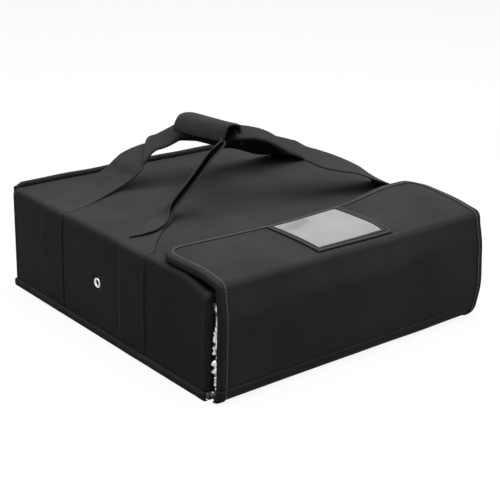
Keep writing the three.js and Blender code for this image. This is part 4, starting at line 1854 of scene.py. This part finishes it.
@dataclass(frozen=True)
class Loops:
    """The two webbing loops, each from its rear foot over the grip to its front foot."""

    body: BodyShape
    wardrobe: Wardrobe
    half: float = 0.025
    thick: float = 0.0017
    proud: float = 0.0022
    turn_radius: float = 0.0075
    stitch_inset: float = 0.0028
    row_steps: int = 6
    stitched_rows: int = 54

    def build(self) -> None:
        """Makes both loops and the stitches that hold them to the walls."""
        self.loop("left", REAR_LEG, HELD, FRONT_LEG)
        far = (FAR_REAR_LEG, FAR_HELD, FAR_FRONT_LEG)
        self.loop("right", *(tuple(row.mirrored() for row in part) for part in far))

    def wall(self, foot: float, first: Station, side: int, outward: int) -> list[Station]:
        """Stations up the wall and round its top edge.

        Args:
            foot: height of the strap's end.
            first: the leg's first station on the top.
            side: -1 left, 1 right.
            outward: 1 where the outer edge looks to the back, -1 to the front.

        Returns:
            The stations, from the foot up.
        """
        out, top, radius = self.body.half_width + self.proud, self.body.height, self.turn_radius
        spots = [(out - (0.0 if z > 0.02 else 0.0004), z) for z in runs((foot, top - 0.009, 9))]
        for turn in (math.radians(angle) for angle in (25, 50, 75)):
            spots.append(
                (out - radius * (1 - math.cos(turn)), top - 0.006 + radius * math.sin(turn))
            )
        edge = Vector((0, outward, 0))
        return [
            Station(Vector((side * x, first.middle.y, z)), edge, -edge, first.crease)
            for x, z in spots
        ]

    def loop(
        self, word: str, rear: Sequence[Station], held: Sequence[Station], front: Sequence[Station]
    ) -> None:
        """One loop of webbing.

        Args:
            word: left or right.
            rear: the rear leg's stations from the bag's edge to the grip.
            held: the stations in the grip, from the back to the front.
            front: the front leg's stations from the bag's edge to the grip.
        """
        side = -1 if word == "left" else 1
        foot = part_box(f"{word}_rear_strap")[0].z
        rows = self.smoothed([
            *self.wall(foot, rear[0], side, 1), *rear, *held,
            *reversed(front), *reversed(self.wall(foot, front[0], side, -1)),
        ])
        row_at = dict(zip(lengths([row.middle for row in rows]), rows))

        def place(u: float, v: float) -> Vector:
            """Lays the webbing."""
            return self.settled(self.lay(row_at[v], u, self.apart(row_at[v], side)))

        cut = Cut(runs((-self.half, self.half, 24)), tuple(row_at))
        piece = cut.build(f"{word}_loop_webbing", place, flip=side > 0)
        ends = ("rear_strap", "front_strap", "rear_leg", "front_leg", "grip_webbing")
        names = [f"{word}_{end}" for end in ends]
        self.wardrobe.dress(piece, WEBBING, Slot.WEBBING, None, names, self.thick)
        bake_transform(piece)
        out, still = Vector((side * 0.0003, 0, 0)), Vector((0, 0, 0))
        seam, count = self.half - self.stitch_inset, self.stitched_rows
        self.wardrobe.sew(f"{word}_strap_stitches", [
            [self.settled(self.lay(row, u, still)) + out for row in part]
            for u in (-seam, seam) for part in (rows[4:count], rows[-count:-4])
        ], slot=Slot.WEBBING)

    def settled(self, point: Vector) -> Vector:
        """Lets the part of the webbing that lies on the bag settle with it."""
        share = 1 - ease(self.body.height + 0.004, self.body.height + 0.03, point.z)
        return point.lerp(self.body.settle(point), share) if share > 0 else point

    def lay(self, row: Station, u: float, apart: Vector) -> Vector:
        """A point across a station, with a rounded fold line.

        Args:
            row: the station.
            u: place across the webbing, outer edge first.
            apart: the way that keeps folded halves off each other.

        Returns:
            The point.
        """
        share = row.crease - u / self.half
        soft = math.sqrt(share * share + 0.0036)
        ways = row.outer * ((share + soft) / 2) + row.inner * ((soft - share) / 2)
        return row.middle + ways * (self.half * row.width) + apart * math.tanh(share / 0.08)

    @staticmethod
    def apart(row: Station, side: int) -> Vector:
        """How far a row's folded halves are held apart.

        Args:
            row: the row.
            side: -1 on the left loop, 1 on the right.

        Returns:
            The way from one half to the other.
        """
        gap = row.outer - row.inner
        closed = 1 - ease(0.1, 1.1, gap.length)
        if gap.length < 1e-4:
            gap = Vector((side, 0, 0))
        return gap.normalized() * 0.0009 * closed

    def smoothed(self, known: Sequence[Station]) -> list[Station]:
        """A smooth run of rows through the known stations.

        Args:
            known: the stations in order.

        Returns:
            The rows.
        """
        padded = [known[0], *known, known[-1]]
        rows: list[Station] = []
        for k in range(1, len(padded) - 2):
            four = padded[k - 1 : k + 3]
            for t in (step / self.row_steps for step in range(self.row_steps)):
                outer, inner = (
                    spline([getattr(row, way) for row in four], t).normalized()
                    for way in ("outer", "inner")
                )
                middle, crease, width = (
                    spline([getattr(row, key) for row in four], t)
                    for key in ("middle", "crease", "width")
                )
                rows.append(Station(middle, outer, inner, crease, width))
        return [*rows, known[-1]]


@dataclass(frozen=True)
class Grip:
    """The padded wrap that holds the loops together, and its fasteners."""

    wardrobe: Wardrobe
    centre: Triple = (0, 0.074, 0.204)
    tilt: float = math.radians(4)
    length: float = 0.1
    tape_half: float = 0.008
    tape_inset: float = 0.004
    cover_wall: float = 0.0028
    flap_wall: float = 0.0026
    pile_wall: float = 0.0013
    wrap: tuple[Pair, ...] = (
        (-16.5, -4.6), (-15.6, 0.0), (-13.4, 5.0), (-10.4, 9.8), (-6.6, 13.2), (0.0, 14.4),
        (6.8, 13.6), (10.0, 12.4), (11.6, 10.6),
    )
    closing: tuple[Pair, ...] = (
        (10.4, 9.4), (11.6, 6.6), (11.9, 2.0), (11.8, -4.0), (11.7, -8.0), (11.4, -12.0),
    )

    def point(self, x: float, along: float, z: float) -> Vector:
        """A point from the grip's own measures: across, towards the back, and up."""
        a, b = math.cos(self.tilt), math.sin(self.tilt)
        return Vector(self.centre) + Vector((x, along * a + z * b, -along * b + z * a))

    def build(self) -> None:
        """Makes the wrap, its closing flap and both fastener tapes."""
        dress, half = self.wardrobe.dress, self.length / 2
        piece = self.cover("grip_cover", self.wrap, half, 0.0014)
        dress(piece, CLOTH, Slot.CLOTH, "handles", ["grip_wrap"], self.cover_wall)
        flap = self.cover("grip_closing_flap", self.closing, half - 0.0005, 0.0006)
        dress(flap, CLOTH, Slot.CLOTH, "wrap_flap", ["grip_wrap_flap"], self.flap_wall)
        end, tall = half - self.tape_inset, self.tape_half
        cut = Cut(runs((-end, end, 60)), runs((-tall, tall, 14)))
        for name, node, x, body in (
            ("grip_soft_tape", "grip_loop_tape", 0.0067, "handles"),
            ("grip_stiff_tape", "grip_hook_tape", 0.0085, "wrap_flap"),
        ):
            def tufted(u: float, v: float) -> Vector:
                """Lays the tufted tape."""
                return self.point(x + 0.0002 * ripple(u * 900, v * 900, 1), u, v)

            dress(cut.build(name, tufted), PILE, Slot.HOOK, body, [node], self.pile_wall)

    def cover(self, name: str, points: Sequence[Pair], half: float, wave: float) -> Piece:
        """A padded strip along the grip.

        Args:
            name: the piece's name.
            points: x and z in millimetres of the outer face's section.
            half: half its length.
            wave: the height of its soft waves.

        Returns:
            The strip.
        """
        known = [Vector((x / 1000, 0, z / 1000)) for x, z in points]
        padded = [2 * known[0] - known[1], *known, 2 * known[-1] - known[-2]]
        section = [
            spline(padded[k - 1 : k + 3], step / 4)
            for k in range(1, len(padded) - 2) for step in range(4)
        ]
        spot = outline([*section, known[-1]])

        def place(u: float, v: float) -> Vector:
            """Lays the strip round its section.

            Args:
                u: place across the cut.
                v: place along the cut.

            Returns:
                The point in space.
            """
            point = spot[u]
            swell = wave * ripple(u * 45, v * 28, 0.5)
            seam = 0.0007 * (1 - ease(0, 0.006, half - abs(v)))
            out = Vector((point.x, 0, point.z - 0.002)).normalized() * (swell - seam)
            return self.point(point.x + out.x, v, point.z + out.z)

        return Cut(tuple(spot), runs((-half, half, 40))).build(name, place, flip=True)


# ---------------------------------------------------------------- the studio


@dataclass(frozen=True)
class PhotoCamera:
    """The photograph's viewing angle."""

    yaw: float = -40.01
    pitch: float = 20.69
    roll: float = 1.57
    distance: float = 1.6494
    target: Triple = (0.0878, 0.0918, 0.0197)
    focal: float = 1211.1
    side: int = 500
    sensor: float = 36.0

    def build(self) -> None:
        """Sets up the scene's camera."""
        yaw, pitch, roll = (math.radians(v) for v in (self.yaw, self.pitch, self.roll))
        back = Vector(
            (math.sin(yaw) * math.cos(pitch), -math.cos(yaw) * math.cos(pitch), math.sin(pitch))
        )
        right = (-back).cross(Vector((0, 0, 1))).normalized()
        up = right.cross(-back)
        across = math.cos(roll) * right + math.sin(roll) * up
        upward = -math.sin(roll) * right + math.cos(roll) * up
        data = bpy.data.cameras.new("camera")
        data.sensor_width = self.sensor
        data.lens = self.sensor * self.focal / self.side
        data.clip_end = 20.0
        made = bpy.data.objects.new("camera", data)
        turn = Matrix((across, upward, back)).transposed().to_4x4()
        made.matrix_world = Matrix.Translation(Vector(self.target) + back * self.distance) @ turn
        bpy.context.collection.objects.link(made)
        bpy.context.scene.camera = made


@dataclass(frozen=True)
class Studio:
    """A pale floor, a white background and soft light, most of it from above."""

    ambient: float = 0.09
    key: float = 120.0
    fill_share: float = 0.06
    floor_tone: float = 0.08
    floor_glow: float = 0.9
    floor_half: float = 6.0

    def build(self) -> None:
        """Makes the floor, the world and the lamps."""
        bpy.context.scene.view_settings.view_transform = "Standard"
        self.world()
        self.floor()
        self.lamp("key_light", (0.0, -0.1, 2.3), (0.0, 0.0, 0.1), 3.0, self.key)
        fill = self.key * self.fill_share
        self.lamp("front_light", (-0.1, -1.9, 1.2), (0.05, -0.1, 0.08), 1.2, fill)

    def world(self) -> None:
        """White where it is seen, a soft grey glow as light."""
        nodes = Nodes(bpy.data.worlds.new("studio"), "Background")
        bpy.context.scene.world = nodes.owner
        nodes.set(nodes.shader, Color=(1, 1, 1, 1))
        blend = nodes.add("ShaderNodeMix", A=self.ambient, B=1.0)
        nodes.link(nodes.seen(), blend.inputs["Factor"])
        nodes.link(blend.outputs["Result"], "Strength")

    def floor(self) -> None:
        """The floor, which looks white and keeps the bag's shadow."""
        mesh = bmesh.new()
        bmesh.ops.create_grid(mesh, x_segments=2, y_segments=2, size=self.floor_half)
        plane = make_object("studio_floor", mesh)
        nodes = Nodes(bpy.data.materials.new("pale_floor"), "Principled BSDF")
        nodes.set(
            nodes.shader, Base_Color=(*grey(self.floor_tone), 1), Roughness=0.95,
            Specular_IOR_Level=0.0, Emission_Color=(1, 1, 1, 1),
        )
        nodes.link(nodes.math("MULTIPLY", nodes.seen(), self.floor_glow), "Emission Strength")
        plane.data.materials.append(nodes.owner)

    def lamp(self, name: str, place: Triple, target: Triple, size: float, power: float) -> None:
        """A soft square lamp.

        Args:
            name: its name.
            place: where it hangs.
            target: what it looks at.
            size: its side.
            power: its power in watts.
        """
        data = bpy.data.lights.new(name, "AREA")
        data.size = size
        data.energy = power
        made = bpy.data.objects.new(name, data)
        turn = (Vector(target) - Vector(place)).to_track_quat("-Z", "Y").to_matrix().to_4x4()
        made.matrix_world = Matrix.Translation(Vector(place)) @ turn
        bpy.context.collection.objects.link(made)


def main() -> None:
    """Builds the bag and its studio."""
    logging.basicConfig(level=logging.INFO, format="%(name)s: %(message)s")
    PhotoCamera().build()
    wardrobe = Wardrobe()
    body = BodyShape.from_frame()
    Body(body, wardrobe).build()
    Eyelets(body, wardrobe).build()
    Flap(FlapShape.from_frame(body), wardrobe).build()
    Loops(body, wardrobe).build()
    Grip(wardrobe).build()
    Studio().build()
    log.info("%d pieces", wardrobe.count)


if __name__ == "__main__":
    main()
